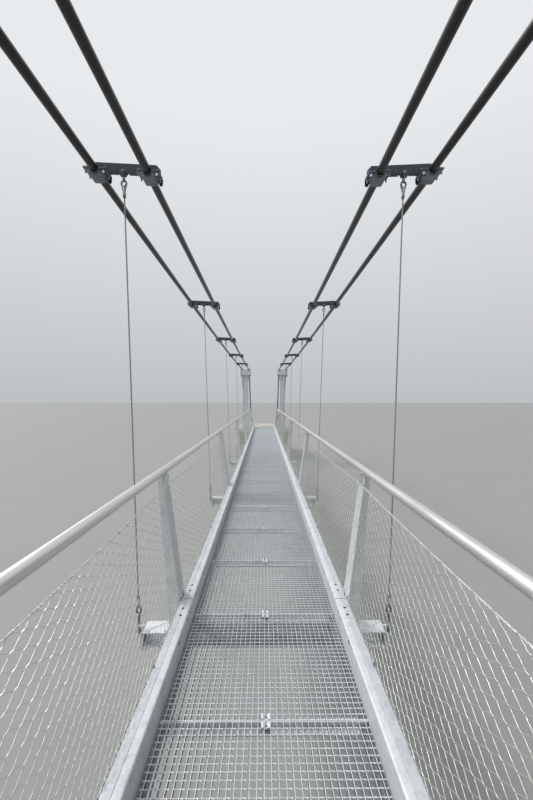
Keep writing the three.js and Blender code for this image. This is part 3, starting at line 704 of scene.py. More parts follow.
def grating_tree():
    """The gratings of one bay: bearing bars, border bars and twisted cross rods, panel after panel."""
    tree = Grower("bar_gratings", **vars(GRATE))
    border = 0.004
    rod_step = 0.0224
    rod_turn = math.radians(60)
    bar_pitch, rod_pitch, panel, depth = (tree[key] for key in ("bar_pitch", "rod_pitch", "panel", "depth"))
    middle = depth * -0.5
    half_bars = (tree["half_width"] / bar_pitch).math("FLOOR")
    bars = tree.copies(
        tree.row(half_bars * 2.0 + 1.0, (-(half_bars * bar_pitch), 0.0, middle), (bar_pitch,)),
        tree.box(tree["bar"], panel - 0.005, depth))
    borders = tree.copies(
        tree.row(2, (0.0, panel * -0.5, middle), (0.0, panel)),
        tree.box(tree["half_width"] * 2.0, border, depth))

    rod_end = tree["half_width"] - 0.001
    axis = tree.add("GeometryNodeCurvePrimitiveLine", {"Start": tree.xyz(-rod_end), "End": tree.xyz(rod_end)})
    axis = tree.twisted(axis, rod_step, tree.add("GeometryNodeInputIndex") * rod_turn)
    rods = tree.copies(
        tree.row((panel / rod_pitch).math("ROUND") - 1.0,
                 (0.0, rod_pitch - panel * 0.5, tree["rod"] * -1.05), (0.0, rod_pitch)),
        tree.swept(axis, tree.ring(4, tree["rod"])))

    slide = tree.any_between(tree.xyz(-tree["slide"]), tree.xyz(tree["slide"]), 4)
    panels = tree.row(tree["panels"], (0.0, tree["pitch"] * 0.5), (0.0, tree["pitch"]))
    return tree.end(tree.copies(tree.placed(panels, Offset=slide), tree.together(bars, borders, rods)))


def panel_clip():
    """A saddle clip: two crowns over neighbouring bars and a dished middle with its screw."""
    half = GRATE.bar_pitch / 2
    foot, top, thick, dish = 0.0004, 0.0036, 0.0026, 0.0085
    section = two_sided([
        (half - 0.0085, top - dish), (half - 0.0045, top), (half + 0.007, top), (half + 0.007, foot),
        (half - 0.0065, foot), (half - 0.0085, top - dish - thick),
    ])
    screw = bolts(ZINC_DARK, [((0, 0, top - dish), (0, 0, 1))], 0.0085)
    return joined([plate(ZINC_BRIGHT, section, -0.018, 0.018, bevel=0.0008), screw])


def bearer(flange, web_low):
    """The steel section under a panel joint, from edge to edge of the deck."""
    across = about(0, BEARER.half)
    top = -GRATE.depth
    low = top - BEARER.plate
    return [
        # The flange takes the brightest zinc: painted light that lifts the shade under the gratings.
        block(ZINC_BRIGHT, across, flange, (low, top)),
        block(ZINC, across, (web_low, web_low + BEARER.web), (top - BEARER.depth, low)),
    ]


def bay_of_gratings():
    """The gratings of a bay from Y = 0, with their bearers and clips."""
    flange = BEARER.flange / 2
    clip_offset = 0.027
    parts = [smooth(grown(grating_tree(), ZINC_GRATE), 30)]
    for joint in range(1, GRATE.panels):
        parts += bearer(about(joint * GRATE.pitch, flange), joint * GRATE.pitch - BEARER.web / 2)
    parts += bearer((HAIR, flange), HAIR)
    parts += bearer((BAY - flange, BAY - HAIR), BAY - HAIR - BEARER.web)
    clip = panel_clip()
    for panel in range(GRATE.panels):
        for y in about((panel + 0.5) * GRATE.pitch, GRATE.pitch / 2 - clip_offset):
            parts.append(copied(clip, at(GRATE.bar_pitch / 4, y, 0)))
    dropped(clip)
    return joined(parts)


def gratings():
    """Every bay, with a landing plate at the deck's two ends."""
    whole = bay_of_gratings()
    ends = {0: -1, BAYS - 1: 1}
    for bay in range(BAYS):
        parts = [copied(whole, at(0, -HALF_SPAN + bay * BAY, 0))]
        if bay in ends:
            along = (ends[bay] * (HALF_SPAN + 0.006), ends[bay] * (DECK_END - 0.002))
            parts.append(block(ZINC, about(0, GRATE.half_width), along, (-0.006, -0.001)))
        finished(f"deck_bay_{bay + 1}", parts, LIFT, f"grating_bay_{bay + 1}")
    dropped(whole)


gratings()


# Kerbs

def kerb_outline():
    """The channel's section in X and Z: a folded plate that opens outwards."""
    outer, top, bottom, thick, bend = KERB.outer, KERB.top, KERB.bottom, KERB.plate, KERB.bend
    bend_x = KERB.inner + bend
    groove_x = (KERB.inner + outer) / 2 - 0.004
    return [
        (outer, bottom), (outer, bottom + thick),
        *arc(bend_x, bottom + bend, bend - thick, 270, 180, 4),
        *arc(bend_x, top - bend, bend - thick, 180, 90, 4),
        (outer, top - KERB.fall - thick), (outer, top - KERB.fall),
        (groove_x + 0.003, top - KERB.fall), (groove_x, top - KERB.groove), (groove_x - 0.003, top),
        *arc(bend_x, top - bend, bend, 90, 180, 4),
        *arc(bend_x, bottom + bend, bend, 180, 270, 4),
    ]


def punched(piece, cutters):
    """The piece with the cutters taken out of it."""
    cutter = joined(cutters)
    modifier = piece.modifiers.new("punch", "BOOLEAN")
    modifier.operation = "DIFFERENCE"
    modifier.solver = "EXACT"
    modifier.material_mode = "TRANSFER"
    modifier.object = cutter
    mesh = evaluated(piece)
    piece.modifiers.remove(modifier)
    piece.data = mesh
    dropped(cutter)
    return piece


def drill(outline, place, plane="XY"):
    # The cutter's near-black finish passes to the walls it cuts: painted shade in holes and slots.
    return moved(plate(ZINC_PAINTED_SHADE, outline, 0, 0.04, plane, bevel=0), place)


def kerb_section(low, high, holes, slots):
    """One length of the girder with its holes; the outer half of its top is duller and painted darker, a
    painted shade beside the sky reflection that lights the inner half.
    """
    middle = (KERB.inner + KERB.outer) / 2
    before_web = KERB.inner - 0.02
    hole = circle(0, 0, KERB_JOINT.radius)
    cutters = []
    for y in holes:
        cutters.append(drill(hole, at(middle, y, KERB.top - 0.02)))
        cutters.append(drill(hole, towards((before_web, y, KERB_JOINT.web_height), (1, 0, 0))))
    for y in slots:
        cutters.append(drill(obround(*KERB_SLOT.size), at(before_web, y, KERB_SLOT.height), "YZ"))
    piece = smooth(punched(plate(ZINC, kerb_outline(), low, high, bevel=0), cutters), 24)
    # The outer half of the top takes the darker zinc: painted shade, with a duller finish.
    piece.data.materials.append(ZINC_DULL_AND_SHADED)
    for face in piece.data.polygons:
        if face.normal.z > 0.5 and face.center.z > KERB.top - 0.006 and face.center.x > middle - 0.004:
            face.material_index = len(piece.data.materials) - 1
    return piece


def splice(joint):
    """The plates and bolts behind a joint of the girder."""
    thick = 0.008
    inner = KERB.inner + KERB.plate + HAIR
    under = KERB.top - KERB.fall - KERB.plate - HAIR
    along = [joint + end for end in KERB_JOINT.plate]
    spots = [
        ((inner + thick, joint + y, z), (1, 0, 0)) for y in (-0.2, -0.08, 0.08, 0.2) for z in (-0.04, 0.06)]
    return [
        block(ZINC, (inner, inner + thick), along, (-0.070, under - 0.007)),
        # A near-black sheet under the top: painted shade that makes the holes and the slit read dark.
        block(ZINC_PAINTED_SHADE, (inner + 0.001, KERB.outer - 0.003), along, (under - 0.006, under)),
        bolts(ZINC_BRIGHT, spots, 0.012),
    ]


def kerb_parts(way):
    """The right girder's lengths; way is 1, or -1 for the girder that is turned half round."""
    joints = [station + way * KERB_JOINT.offset for station in STATIONS]
    ends = [-DECK_END, *joints, DECK_END]
    holes = [joint + hole for joint in joints for hole in KERB_JOINT.holes]
    first = -HALF_SPAN + (KERB_SLOT.offset if way > 0 else 1 - KERB_SLOT.offset)
    slots = [first + n * KERB_SLOT.pitch for n in range(int(2 * HALF_SPAN))]
    ledge_low = -GRATE.depth - LEDGE.plate - 0.0003
    parts = [block(ZINC_DARK, (KERB.inner - LEDGE.reach, KERB.inner + 0.001), about(0, DECK_END),
                   (ledge_low, ledge_low + LEDGE.plate))]
    for low, high in zip(ends, ends[1:]):
        within = [[y for y in places if low + 0.05 < y < high - 0.05] for places in (holes, slots)]
        gaps = [KERB_JOINT.slit / 2 if end in joints else 0 for end in (low, high)]
        parts.append(kerb_section(low + gaps[0], high - gaps[1], *within))
    for joint in joints:
        parts += splice(joint)
    return parts


def kerbs():
    for (side, place), way in zip(SIDES.items(), (1, -1)):
        finished(f"edge_girder_{side}", kerb_parts(way), place, f"kerb_{side}")


kerbs()


# Railing posts and cross-beams

def post_parts(foot):
    """A leaning post on the right side at Y = 0, down to the given height."""
    inner, thick, lean_start = POST.foot_inner, POST.flange, POST.lean_start
    top_x, top_z = POST.flange_top_x, POST.flange_top
    notch_x, notch_z = CLEAT.notch
    lap = thick / 2
    web = [
        (inner + lap, foot), (POST.foot_outer, foot), (POST.top_outer, POST.top),
        (POST.neck_inner + lap, POST.top), (POST.neck_inner + lap, top_z + 0.012),
        (top_x + lap, top_z - 0.002), (inner + lap, lean_start),
    ]
    flange = [
        (inner, foot), (inner + thick, foot), (inner + thick, lean_start), (top_x + thick, top_z),
        (top_x, top_z), (inner, lean_start),
    ]
    cleat = [
        (top_x + 0.002, top_z - 0.018), (top_x + 0.008, top_z - 0.018), (CLEAT.outer, top_z + 0.006),
        (CLEAT.outer, CLEAT.top - 0.004), (CLEAT.outer - 0.004, CLEAT.top), (CLEAT.inner + 0.006, CLEAT.top),
        (CLEAT.inner, CLEAT.top - 0.006), (CLEAT.inner, notch_z + HAIR), (notch_x, notch_z - HAIR),
        (notch_x, top_z + 0.006),
    ]
    holes = [circle(CLEAT.hole_x, z, CLEAT.radius) for z in CLEAT.holes]
    return [
        plate(ZINC, web, *about(0, POST.web / 2)),
        plate(ZINC, flange, *about(0, POST.depth / 2)),
        plate(ZINC, cleat, *about(0, CLEAT.plate / 2), holes=holes, bevel=0.001),
        block(ZINC, (POST.neck_inner, POST.neck_inner + thick), about(0, POST.neck_depth / 2),
              (top_z + 0.002, POST.top)),
    ]


def rail_seat():
    """The saddle welded on the neck that holds the handrail from below."""
    gap, thick, low, high = 0.0004, 0.0040, 205, 335
    outer = arc(RAIL.x, RAIL.z, RAIL.radius + gap + thick, low, high, 10)
    inner = arc(RAIL.x, RAIL.z, RAIL.radius + gap, high, low, 10)
    return plate(ZINC, outer + inner, -0.030, 0.030, bevel=0.0006)


def post_bolts():
    spots = [((POST.foot_inner - HAIR, y, 0.172), (-1, 0, 0)) for y in (-0.05, 0.05)]
    return bolts(ZINC_BRIGHT, spots, 0.013)


def beam_outline():
    half, top, web, root = BEAM.width / 2, BEAM.top, BEAM.web / 2, 0.012
    under = top - BEAM.flange
    quarter = [
        (half, top), (half, under), (web + root, under), (web + root * 0.35, under - root * 0.35),
        (web, under - root),
    ]
    return two_sided(quarter + [(y, 2 * top - BEAM.depth - z) for y, z in reversed(quarter)])


def beam_end():
    """The bracket plate, stiffeners and bolts at the right end of a cross-beam."""
    half, top, pin_x = BEAM.half, BEAM.top, LOWER_PIN.x
    bottom = top - BEAM.depth
    bolt_x = (0.785, 0.905)
    bracket = [
        (half - 0.030, top - 0.012), (half + HAIR, top - 0.002), (half + 0.006, BRACKET.top),
        (pin_x + 0.008, BRACKET.top), (pin_x + 0.022, -0.106), (pin_x + 0.020, -0.142),
        (pin_x - 0.020, BRACKET.foot), (half - 0.014, BRACKET.foot), (half - 0.030, bottom - 0.020),
    ]
    hole = circle(pin_x, LOWER_PIN.z, LOWER_PIN.hole, 16)
    parts = [plate(ZINC, bracket, -0.010, 0.010, holes=[hole])]
    inside = (bottom + BEAM.flange, top - BEAM.flange)
    for x in (half - 0.008, POST.foot_inner + 0.012):
        for way in (-1, 1):
            parts.append(block(ZINC_DARK, about(x, 0.004), (way * 0.005, way * 0.078), inside))
    spots = [((x, y, top + 0.0002), (0, 0, 1)) for x in bolt_x for y in (-0.055, 0.055)]
    seam = [(0.947, 0.056, top + 0.0003), (bolt_x[0], -0.066, top + 0.0003)]
    return [*parts, bolts(ZINC_BRIGHT, spots, 0.011), bar(ZINC_DARK, seam, 0.0022, 6)]


def cross_frames():
    beam = plate(ZINC, beam_outline(), -BEAM.half, BEAM.half, "YZ", bevel=0.0012)
    side = joined([*post_parts(BEAM.top), rail_seat(), post_bolts(), *beam_end()])
    for number, station in enumerate(STATIONS, 1):
        parts = [copied(beam), copied(side), copied(side, TURNED)]
        finished(f"beam_and_posts_{number}", parts, at(0, station, DECK),
                 f"cross_frame_{number}")
    dropped(beam, side)


def four_ends():
    """Side, end and place, with the end's way along Y before the place turns it: 1 or -1."""
    for side, place in SIDES.items():
        for end in ("north", "south"):
            yield side, end, place, 1 if (end == "north") == (side == "right") else -1


def end_posts():
    low = KERB.bottom
    high = low + 0.012
    foot = block(
        ZINC, (POST.foot_inner, POST.foot_outer + 0.060), about(0, POST.depth / 2 + 0.015), (low, high))
    spots = [((x, y, high), (0, 0, 1)) for x in (0.695, 0.790) for y in (-0.06, 0.06)]
    whole = joined([foot, *post_parts(high), rail_seat(), post_bolts(), bolts(ZINC_BRIGHT, spots, 0.014)])
    for side, end, place, way in four_ends():
        finished(f"end_upright_{side}_{end}", [copied(whole)], place @ at(0, way * HALF_SPAN, 0),
                 f"end_post_{side}_{end}")
    dropped(whole)


cross_frames()
end_posts()


# Handrails

def handrail():
    """A brushed tube along +Z with rounded ends, and a sleeve with two fine joints past each post."""
    radius = RAIL.radius
    rounding = 0.004
    deep = 0.0035
    end = [
        (0, RAIL.end), (radius - rounding, RAIL.end),
        (radius - 0.3 * rounding, RAIL.end - 0.3 * rounding), (radius, RAIL.end - rounding),
    ]
    profile = [(across, -along) for across, along in end]
    for station in STATIONS:
        for edge in about(station + RAIL.sleeve, 0.045):
            profile += [(radius, edge - deep), (radius - deep, edge - 0.0022),
                        (radius - deep, edge + 0.0022), (radius, edge + deep)]
    return turned_piece(TUBE, profile + end[::-1], 40, 40)


def handrails():
    for side, way in (("right", 1), ("left", -1)):
        place = towards((way * RAIL.x, 0, DECK + RAIL.z), (0, 1, 0))
        finished(f"rail_tube_{side}", [handrail()], place, f"handrail_{side}")


handrails()


# Safety nets, drawn flat: X runs along the bridge and Y up the leaning plane

NET_ROWS = math.ceil(NET_HEIGHT / NET_MESH.up) + 2
NET_LEAD = math.ceil(NET.end / NET_MESH.along + NET_ROWS / 2) * NET_MESH.along
NET_WIRES = math.ceil(2 * NET.end / NET_MESH.along + NET_ROWS / 2) + 3


def rope_height(along):
    """The height of the edge rope in the net's plane, for a number or a Value; it sags between posts."""
    share = (along + (HALF_SPAN + BAY)) / BAY % 1.0
    return (share * share - share) * (4 * NET.sag) + NET_HEIGHT


def strand_tree():
    """One family of net wires: each climbs in small steps, runs level at every knot and ends on the rope."""
    tree = Grower(
        "net_wires", start=0.0, rows=NET_ROWS, wires=NET_WIRES, end=NET.end, way=1.0, **vars(NET_MESH))
    along, up, end, way, wire = (tree[key] for key in ("along", "up", "end", "way", "wire"))
    index = tree.add("GeometryNodeInputIndex")
    knot = (index * 0.5).math("FLOOR") - 1.0
    swing = index % 2.0 * 2.0 - 1.0
    across = knot * (along * 0.5) + swing * tree["jog"]
    strand = tree.placed(
        tree.row(tree["rows"] * 2.0, (), (0.0, 1.0)),
        Position=tree.xyz(across * way, tree["first_row"] + knot * up))
    feet = tree.row(tree["wires"], (tree["start"],), (along * way,))
    wires = tree.realized(tree.copies(feet, tree.curve(strand)))

    place = tree.add("GeometryNodeInputPosition")
    x, y = tree.part(place, "X"), tree.part(place, "Y")
    outside = x.math("ABSOLUTE").math("GREATER_THAN", end + along * 0.3)
    above = y.math("GREATER_THAN", rope_height(x) + up)
    wires = tree.add("GeometryNodeDeleteGeometry", {
        "Geometry": wires, "Selection": outside.math("MAXIMUM", above)}, domain="POINT")
    kept_x = x.math("MINIMUM", end).math("MAXIMUM", -end)
    kept_y = y.math("MINIMUM", rope_height(kept_x)).math("MAXIMUM", 0.0)
    wires = tree.placed(wires, Position=tree.xyz(kept_x, kept_y, wire * way))
    return tree.end(tree.swept(wires, tree.ring(3, wire)))


def wrap_tree():
    """Short windings of net wire round the edge rope, one above every other knot."""
    tree = Grower(
        "rope_wraps", start=0.0, pitch=NET_MESH.along, count=int(2 * HALF_SPAN / NET_MESH.along),
        radius=EDGE_ROPE_RADIUS + 0.001, length=0.014)
    spots = tree.row(tree["count"], (tree["start"],), (tree["pitch"],))
    along = tree.part(tree.add("GeometryNodeInputPosition"), "X")
    spots = tree.placed(spots, Position=tree.xyz(along, rope_height(along)))
    sleeve = tree.cylinder(8, tree["radius"], tree["length"])
    return tree.end(tree.copies(spots, sleeve, Rotation=(0.0, math.pi / 2, 0.0)))


def hook_tree():
    """Eye bolts along the girder's outer edge that hold the net's lower rope."""
    tree = Grower("net_hooks", count=int(2 * HALF_SPAN / NET_HOOKS.pitch) + 1, **vars(NET_HOOKS))
    count, pitch, radius = tree["count"], tree["pitch"], tree["radius"]
    eye = tree.swept(tree.ring(12, radius), tree.ring(6, tree["wire"]))
    eye = tree.add("GeometryNodeTransform", {"Geometry": eye, "Rotation": (0.0, math.pi / 2, 0.0)})
    nut = tree.moved(tree.cylinder(6, radius * 0.8, 0.006), radius * -1.2)
    spots = tree.row(count, (0.0, pitch * (count - 1.0) * -0.5), (0.0, pitch))
    turn = tree.any_between((0.0, 0.0, -0.35), (0.0, 0.0, 0.35), 7)
    turn = tree.add("FunctionNodeEulerToRotation", {0: turn})
    return tree.end(tree.copies(spots, tree.together(eye, nut), Rotation=turn))


def edge_rope_path():
    per_metre = 5
    places = [-HALF_SPAN + i / per_metre for i in range(int(2 * HALF_SPAN * per_metre) + 1)]
    sagging = [(along, rope_height(along), 0) for along in places[1:-1]]
    return [(-NET.end, NET_HEIGHT, 0), *sagging, (NET.end, NET_HEIGHT, 0)]


def safety_nets():
    up = NET_RISE.normalized()
    plane = framed((0, 1, 0), up, (up.z, 0, -up.x), (NET.foot[0], 0, NET.foot[1]))
    hook_place = at(HOOK_X, 0, KERB.top + NET_HOOKS.radius + 0.001)
    foot_line = [(-NET.end, 0, 0), (NET.end, 0, 0)]
    strands, wraps, hooks = strand_tree(), wrap_tree(), hook_tree()
    for (side, place), first in zip(SIDES.items(), (NET.first_knot, -NET.first_knot)):
        families = {
            label: smooth(grown(strands, NET_WIRE, start=first - way * NET_LEAD, way=way), 150)
            for label, way in (("rising", 1.0), ("falling", -1.0))}
        flat = joined([
            rope(EDGE_ROPE_WIRE, edge_rope_path(), radius=EDGE_ROPE_RADIUS, lay=0.125, step=0.025),
            smooth(grown(wraps, NET_WIRE, start=first + NET_MESH.along / 2 - HALF_SPAN), 50),
            rope(ROPE_WIRE, foot_line, radius=0.0026, lobes=5, lay=0.06, step=0.03)])
        edge = [moved(flat, plane), moved(smooth(grown(hooks, SHACKLE_STEEL), 50), hook_place)]
        finished(f"net_edge_rope_{side}", edge, place, f"safety_net_{side}")
        for label, family in families.items():
            finished(f"net_{label}_wires_{side}", [family], place @ plane, f"safety_net_{side}")


safety_nets()


# Main cables

def cable_height(y):
    return CABLE_MIDDLE + CABLE_SAG * (y / HALF_SPAN) ** 2


def saddle_point(angle):
    """Where a cable lies over its saddle, as (Y, Z), at an angle from the top of the saddle."""
    y = SADDLE_START + SADDLE_RADIUS * (math.sin(SPAN_SLOPE) + math.sin(angle))
    return y, cable_height(SADDLE_START) + SADDLE_RADIUS * (math.cos(angle) - math.cos(SPAN_SLOPE))


def cable_path(x, rise):
    """From pin to pin: over the span, round both saddles and down the backstays."""
    span_steps = 24
    arc_steps = 18
    turn = (SPAN_SLOPE + BACKSTAY) / arc_steps
    places = [SADDLE_START * i / span_steps for i in range(span_steps)]
    half = [(y, cable_height(y)) for y in places]
    half += [saddle_point(-SPAN_SLOPE + i * turn) for i in range(arc_steps + 1)]
    y, z = half[-1]
    half.append((y + (z - ANCHOR_PIN_HEIGHT) / math.tan(BACKSTAY), ANCHOR_PIN_HEIGHT))
    both = [(-y, z) for y, z in reversed(half[1:])] + half
    return [Vector((x, y, z + rise)) for y, z in both]


def fork_socket():
    """A cast cable end along +Z from its pin: fork, basket, and a pin with its washers."""
    half, shoulder, top, length = 0.048, 0.165, 0.199, SOCKET.length
    cheeks = ((0.023, 0.047), (-0.047, -0.023))
    outline = [
        *arc(0, 0, half, 180, 360, 10), (half, shoulder), (0.040, top), (-0.040, top), (-half, shoulder)]
    parts = [plate(CLAMP_PAINT, outline, *cheek, "YZ", bevel=0.004) for cheek in cheeks]
    parts.append(block(CLAMP_PAINT, (-0.046, 0.046), (-0.047, 0.047), (0.120, top), bevel=0.004))
    basket = turned_piece(CLAMP_PAINT, [
        (0, 0), (0.058, 0), (0.062, 0.004), (0.073, 0.040), (0.074, 0.050), (0.074, 0.140), (0.071, 0.156),
        (0.045, 0.318), (0.0405, 0.332), (0.0405, length - 0.004), (0.0385, length), (0, length)], 28)
    parts.append(moved(basket, at(0, 0, SOCKET.start)))
    end = [(0.0235, 0.056), (0.021, 0.059), (0, 0.059)]
    pin = turned_piece(ZINC_BRIGHT, [(radius, -along) for radius, along in reversed(end)] + end, 20)
    parts.append(moved(pin, towards((0, 0, 0), (1, 0, 0))))
    for x in (-0.052, 0.047):
        parts.append(plate(ZINC_BRIGHT, circle(0, 0, 0.034, 20), x, x + 0.005, "YZ", bevel=0.001))
    return joined(parts)


def main_cables():
    socket = fork_socket()
    cut = SOCKET.start + SOCKET.length - 0.02
    for side, place in SIDES.items():
        for label, x, rise in zip(("inner", "outer"), CABLE_X, CABLE_RISE):
            path = cable_path(x, rise)
            parts = []
            for end, after in ((0, 1), (-1, -2)):
                up = (path[after] - path[end]).normalized()
                across = up.cross(Vector((1, 0, 0)))
                parts.append(copied(socket, framed((1, 0, 0), across, up, path[end])))
                path[end] = path[end] + up * cut
            parts.append(bar(CABLE_COAT, path, CABLE_RADIUS, 32))
            finished(f"cable_{label}_{side}", parts, place, f"main_cable_{label}_{side}")
    dropped(socket)


main_cables()


# Cable clamps, drawn about the middle of a cable

def clamp_bar():
    """The spacer bar between a pair of cables, with its lug for the hanger and a narrow lower flange."""
    half, low, shoulder, high = 0.297, 0.004, 0.044, 0.080
    outline = two_sided([
        (0.022, -0.022), (0.036, low), (half, low), (half, shoulder), (half - 0.035, high)])
    hole = circle(0, UPPER_PIN_RISE, LOWER_PIN.hole, 16)
    parts = [plate(CLAMP_PAINT, outline, -0.010, 0.010, holes=[hole], bevel=0.002)]
    for x in ((-0.118, -0.042), (0.042, 0.118)):
        parts.append(block(CLAMP_PAINT, x, (-0.024, 0.024), (low - 0.002, low + 0.004), bevel=0.001))
    return parts


def clasp(finish, half, outside, bore, ear_outside, ear_inside):
    """A bent plate with two ears, from its two arcs and the heights of the ears' faces."""
    ear = [(0.046, ear_outside), (CLAMP.ear, ear_outside), (CLAMP.ear, ear_inside), (0.034, ear_inside)]
    return plate(finish, [*outside, *two_sided(ear, bore)], -half, half, bevel=0.001)


def clamp_cap():
    """The upper half of a clamp."""
    outside = arc(0, 0, CLAMP.bore + 0.008, 155, 25)
    return clasp(CLAMP_PAINT, CLAMP.cap_half, outside, arc(0, 0, CLAMP.bore, 14, 166), 0.014, 0.008)


def clamp_strap():
    """The bent strap under the cable, whose ears meet the cap's."""
    outside = arc(0, 0, CLAMP.bore + 0.0055, 187, 353)
    # The strap takes the lightened clamp paint: painted light from below.
    return clasp(CLAMP_PAINT_LIT_FROM_BELOW, CLAMP.strap_half, outside, arc(0, 0, CLAMP.bore, 368, 172)[1:-1], 0.0, 0.006)


def clamp_housing():
    """The trapezoid block that carries the strap, pale with painted light: the clamp's paint lightened as if
    lit by the ground below.
    """
    side = [(0.034, -0.056), (0.042, -0.052), (0.046, -0.046), (0.067, -0.012), (0.067, -0.001)]
    outline = two_sided(side, arc(0, 0, CLAMP.bore + 0.006, 357, 183))
    return plate(CLAMP_PAINT_LIT_FROM_BELOW, outline, *about(0, CLAMP.housing_half), bevel=0.0025)


def clamp_bolts():
    places = [(x, y) for x in (-CLAMP.bolt_x, CLAMP.bolt_x) for y in (-CLAMP.bolt_y, CLAMP.bolt_y)]
    shank = [(0, -0.030), (0.0048, -0.030), (0.006, -0.0285), (0.006, 0.012), (0, 0.012)]
    parts = [moved(turned_piece(ZINC_DARK, shank, 12), at(x, y, 0)) for x, y in places]
    spots = [((x, y, 0.014), (0, 0, 1)) for x, y in places]
    spots += [((x, y, -0.0002), (0, 0, -1)) for x, y in places]
    return [*parts, bolts(ZINC_DARK, spots, 0.0125)]


def clamp_gussets():
    """Small plates under the inward ear, each with one bright bolt."""
    outline = [
        (-0.092, 0.0), (-0.048, 0.0), (-0.058, -0.034), (-0.070, -0.050), (-0.086, -0.050), (-0.092, -0.040)]
    parts = []
    for way in (-1, 1):
        parts.append(plate(CLAMP_PAINT, outline, *about(way * 0.061, 0.003), bevel=0.001))
        parts.append(bolts(ZINC_BRIGHT, [((-0.076, way * 0.064, -0.030), (0, way, 0))], 0.0105))
    return parts


def clamp_parts():
    parts = clamp_bar()
    for x in (-PAIR_REACH, PAIR_REACH):
        side = [clamp_cap(), clamp_strap(), clamp_housing(), *clamp_bolts(), *clamp_gussets()]
        parts += [moved(part, at(x, 0, 0)) for part in side]
    return parts


def each_station():
    """Label, place on the deck and cable height for each side's stations, numbered from the south."""
    for side, place in SIDES.items():
        for index, station in enumerate(STATIONS):
            number = index + 1 if side == "right" else len(STATIONS) - index
            yield f"{side}_{number}", place @ at(0, station, 0), cable_height(station)


def cable_clamps():
    whole = joined(clamp_parts())
    tilt = Matrix.Rotation(-PAIR_TILT, 4, "Y")
    for label, place, height in each_station():
        finished(f"clamp_{label}", [copied(whole)], place @ at(PAIR_X, 0, height) @ tilt,
                 f"cable_clamp_{label}")
    dropped(whole)


cable_clamps()


# Hangers

def bow(reach):
    """The bent bar of a shackle, from eye to eye round the far end."""
    half = SHACKLE.jaw + SHACKLE.eye_half
    bend = [(0, y, z) for y, z in arc(0, reach - half, half, 0, 180, 10)]
    parts = [bar(SHACKLE_STEEL, [(0, half, 0), *bend, (0, -half, 0)], SHACKLE.bar)]
    for y in (half, -half):
        hole = circle(0, 0, 0.0083, 16)
        parts.append(plate(SHACKLE_STEEL, circle(0, 0, 0.017, 20), *about(y, SHACKLE.eye_half), holes=[hole]))
    return parts


def shackle(reach):
    half = SHACKLE.pin_half
    pin = turned_piece(SHACKLE_STEEL, [
        (0, -half), (0.010, -half), (0.0115, -half + 0.002), (0.0115, -0.0245), (0.0078, -0.0245),
        (0.0078, half - 0.001), (0.007, half), (0, half)], 16)
    nut = bolts(ZINC_DARK, [((0, 0.0238, 0), (0, 1, 0))], 0.0125)
    return [*bow(reach), moved(pin, towards((0, 0, 0), (0, 1, 0))), nut]


def teardrop(low, high, half):
    """A closed drop in X and Z: a round end at low that narrows to a point at high."""
    centre = low + half
    lean = math.degrees(math.acos(half / (high - centre)))
    return [(0, high), *arc(0, centre, half, 90 - lean, lean - 270, 18)]


def hanger_end(reach):
    """Shackle, thimble, rope eye and ferrule along +Z from the shackle's pin."""
    low = reach - THIMBLE.overlap
    high = low + THIMBLE.length
    groove = teardrop(low + 0.005, high - 0.010, 0.0185)
    hollow = teardrop(low + 0.011, high - 0.026, 0.0135)
    thimble = plate(SHACKLE_STEEL, groove, -0.0075, 0.0075, holes=[hollow[::-1]], bevel=0.002)
    loop = [(x, 0, z) for x, z in teardrop(low, high + 0.004, 0.0232)[1:]]
    loop = [(0.005, 0, high + 0.02), *loop, (-0.005, 0, high + 0.02)]
    eye = rope(ROPE_WIRE, loop, radius=0.0052, lay=0.07, step=0.006)
    ferrule = turned_piece(FERRULE, [
        (0, 0), (0.010, 0), (0.0118, 0.004), (0.0122, 0.008),
        (0.0122, 0.040), (0.0115, 0.043), (0, 0.043)], 20)
    collar = turned_piece(SHACKLE_STEEL, [
        (0, 0), (0.0115, 0), (0.0125, 0.002), (0.0125, 0.018),
        (0.0105, 0.024), (0.008, 0.028), (0, 0.028)], 18)
    moved(ferrule, at(0, 0, high - 0.006))
    moved(collar, at(0, 0, high + 0.037))
    return joined([*shackle(reach), thimble, eye, ferrule, collar])


def hangers():
    lower = hanger_end(SHACKLE.lower_reach)
    upper = hanger_end(SHACKLE.upper_reach)
    rope_start = THIMBLE.length + 0.040
    foot = Vector((LOWER_PIN.x, 0, LOWER_PIN.z))
    for label, place, height in each_station():
        head = Vector((
            PAIR_X - UPPER_PIN_RISE * math.sin(PAIR_TILT), 0, height + UPPER_PIN_RISE * math.cos(PAIR_TILT)))
        length = (head - foot).length
        low = SHACKLE.lower_reach + rope_start
        high = length - SHACKLE.upper_reach - rope_start
        parts = [
            copied(lower),
            copied(upper, at(0, 0, length) @ Matrix.Rotation(math.pi, 4, "X")),
            rope(ROPE_WIRE, [(0, 0, low), (0, 0, high)]),
        ]
        finished(f"hanger_rope_{label}", parts, place @ towards(foot, head - foot),
                 f"hanger_{label}")
    dropped(lower, upper)


hangers()


# Abutments, pylons and anchors, each from its own solid with broken edges

def softened(node, finish, width):
    """A node's own shape with its corners broken."""
    bm = bmesh.new()
    bm.from_mesh(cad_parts[node].data)
    bmesh.ops.remove_doubles(bm, verts=bm.verts, dist=1e-5)
    bmesh.ops.dissolve_limit(bm, angle_limit=math.radians(1), verts=bm.verts, edges=bm.edges)
    corners = [edge for edge in bm.edges if edge.calc_face_angle(0) > math.radians(40)]
    bmesh.ops.bevel(bm, geom=corners, offset=width, segments=2, affect="EDGES", clamp_overlap=True)
    return smooth(from_bmesh(bm, finish), 30)


def mirrored(piece, matrix):
    """The piece set by a matrix that mirrors it, with its faces still outwards."""
    moved(piece, matrix)
    piece.data.flip_normals()
    return piece


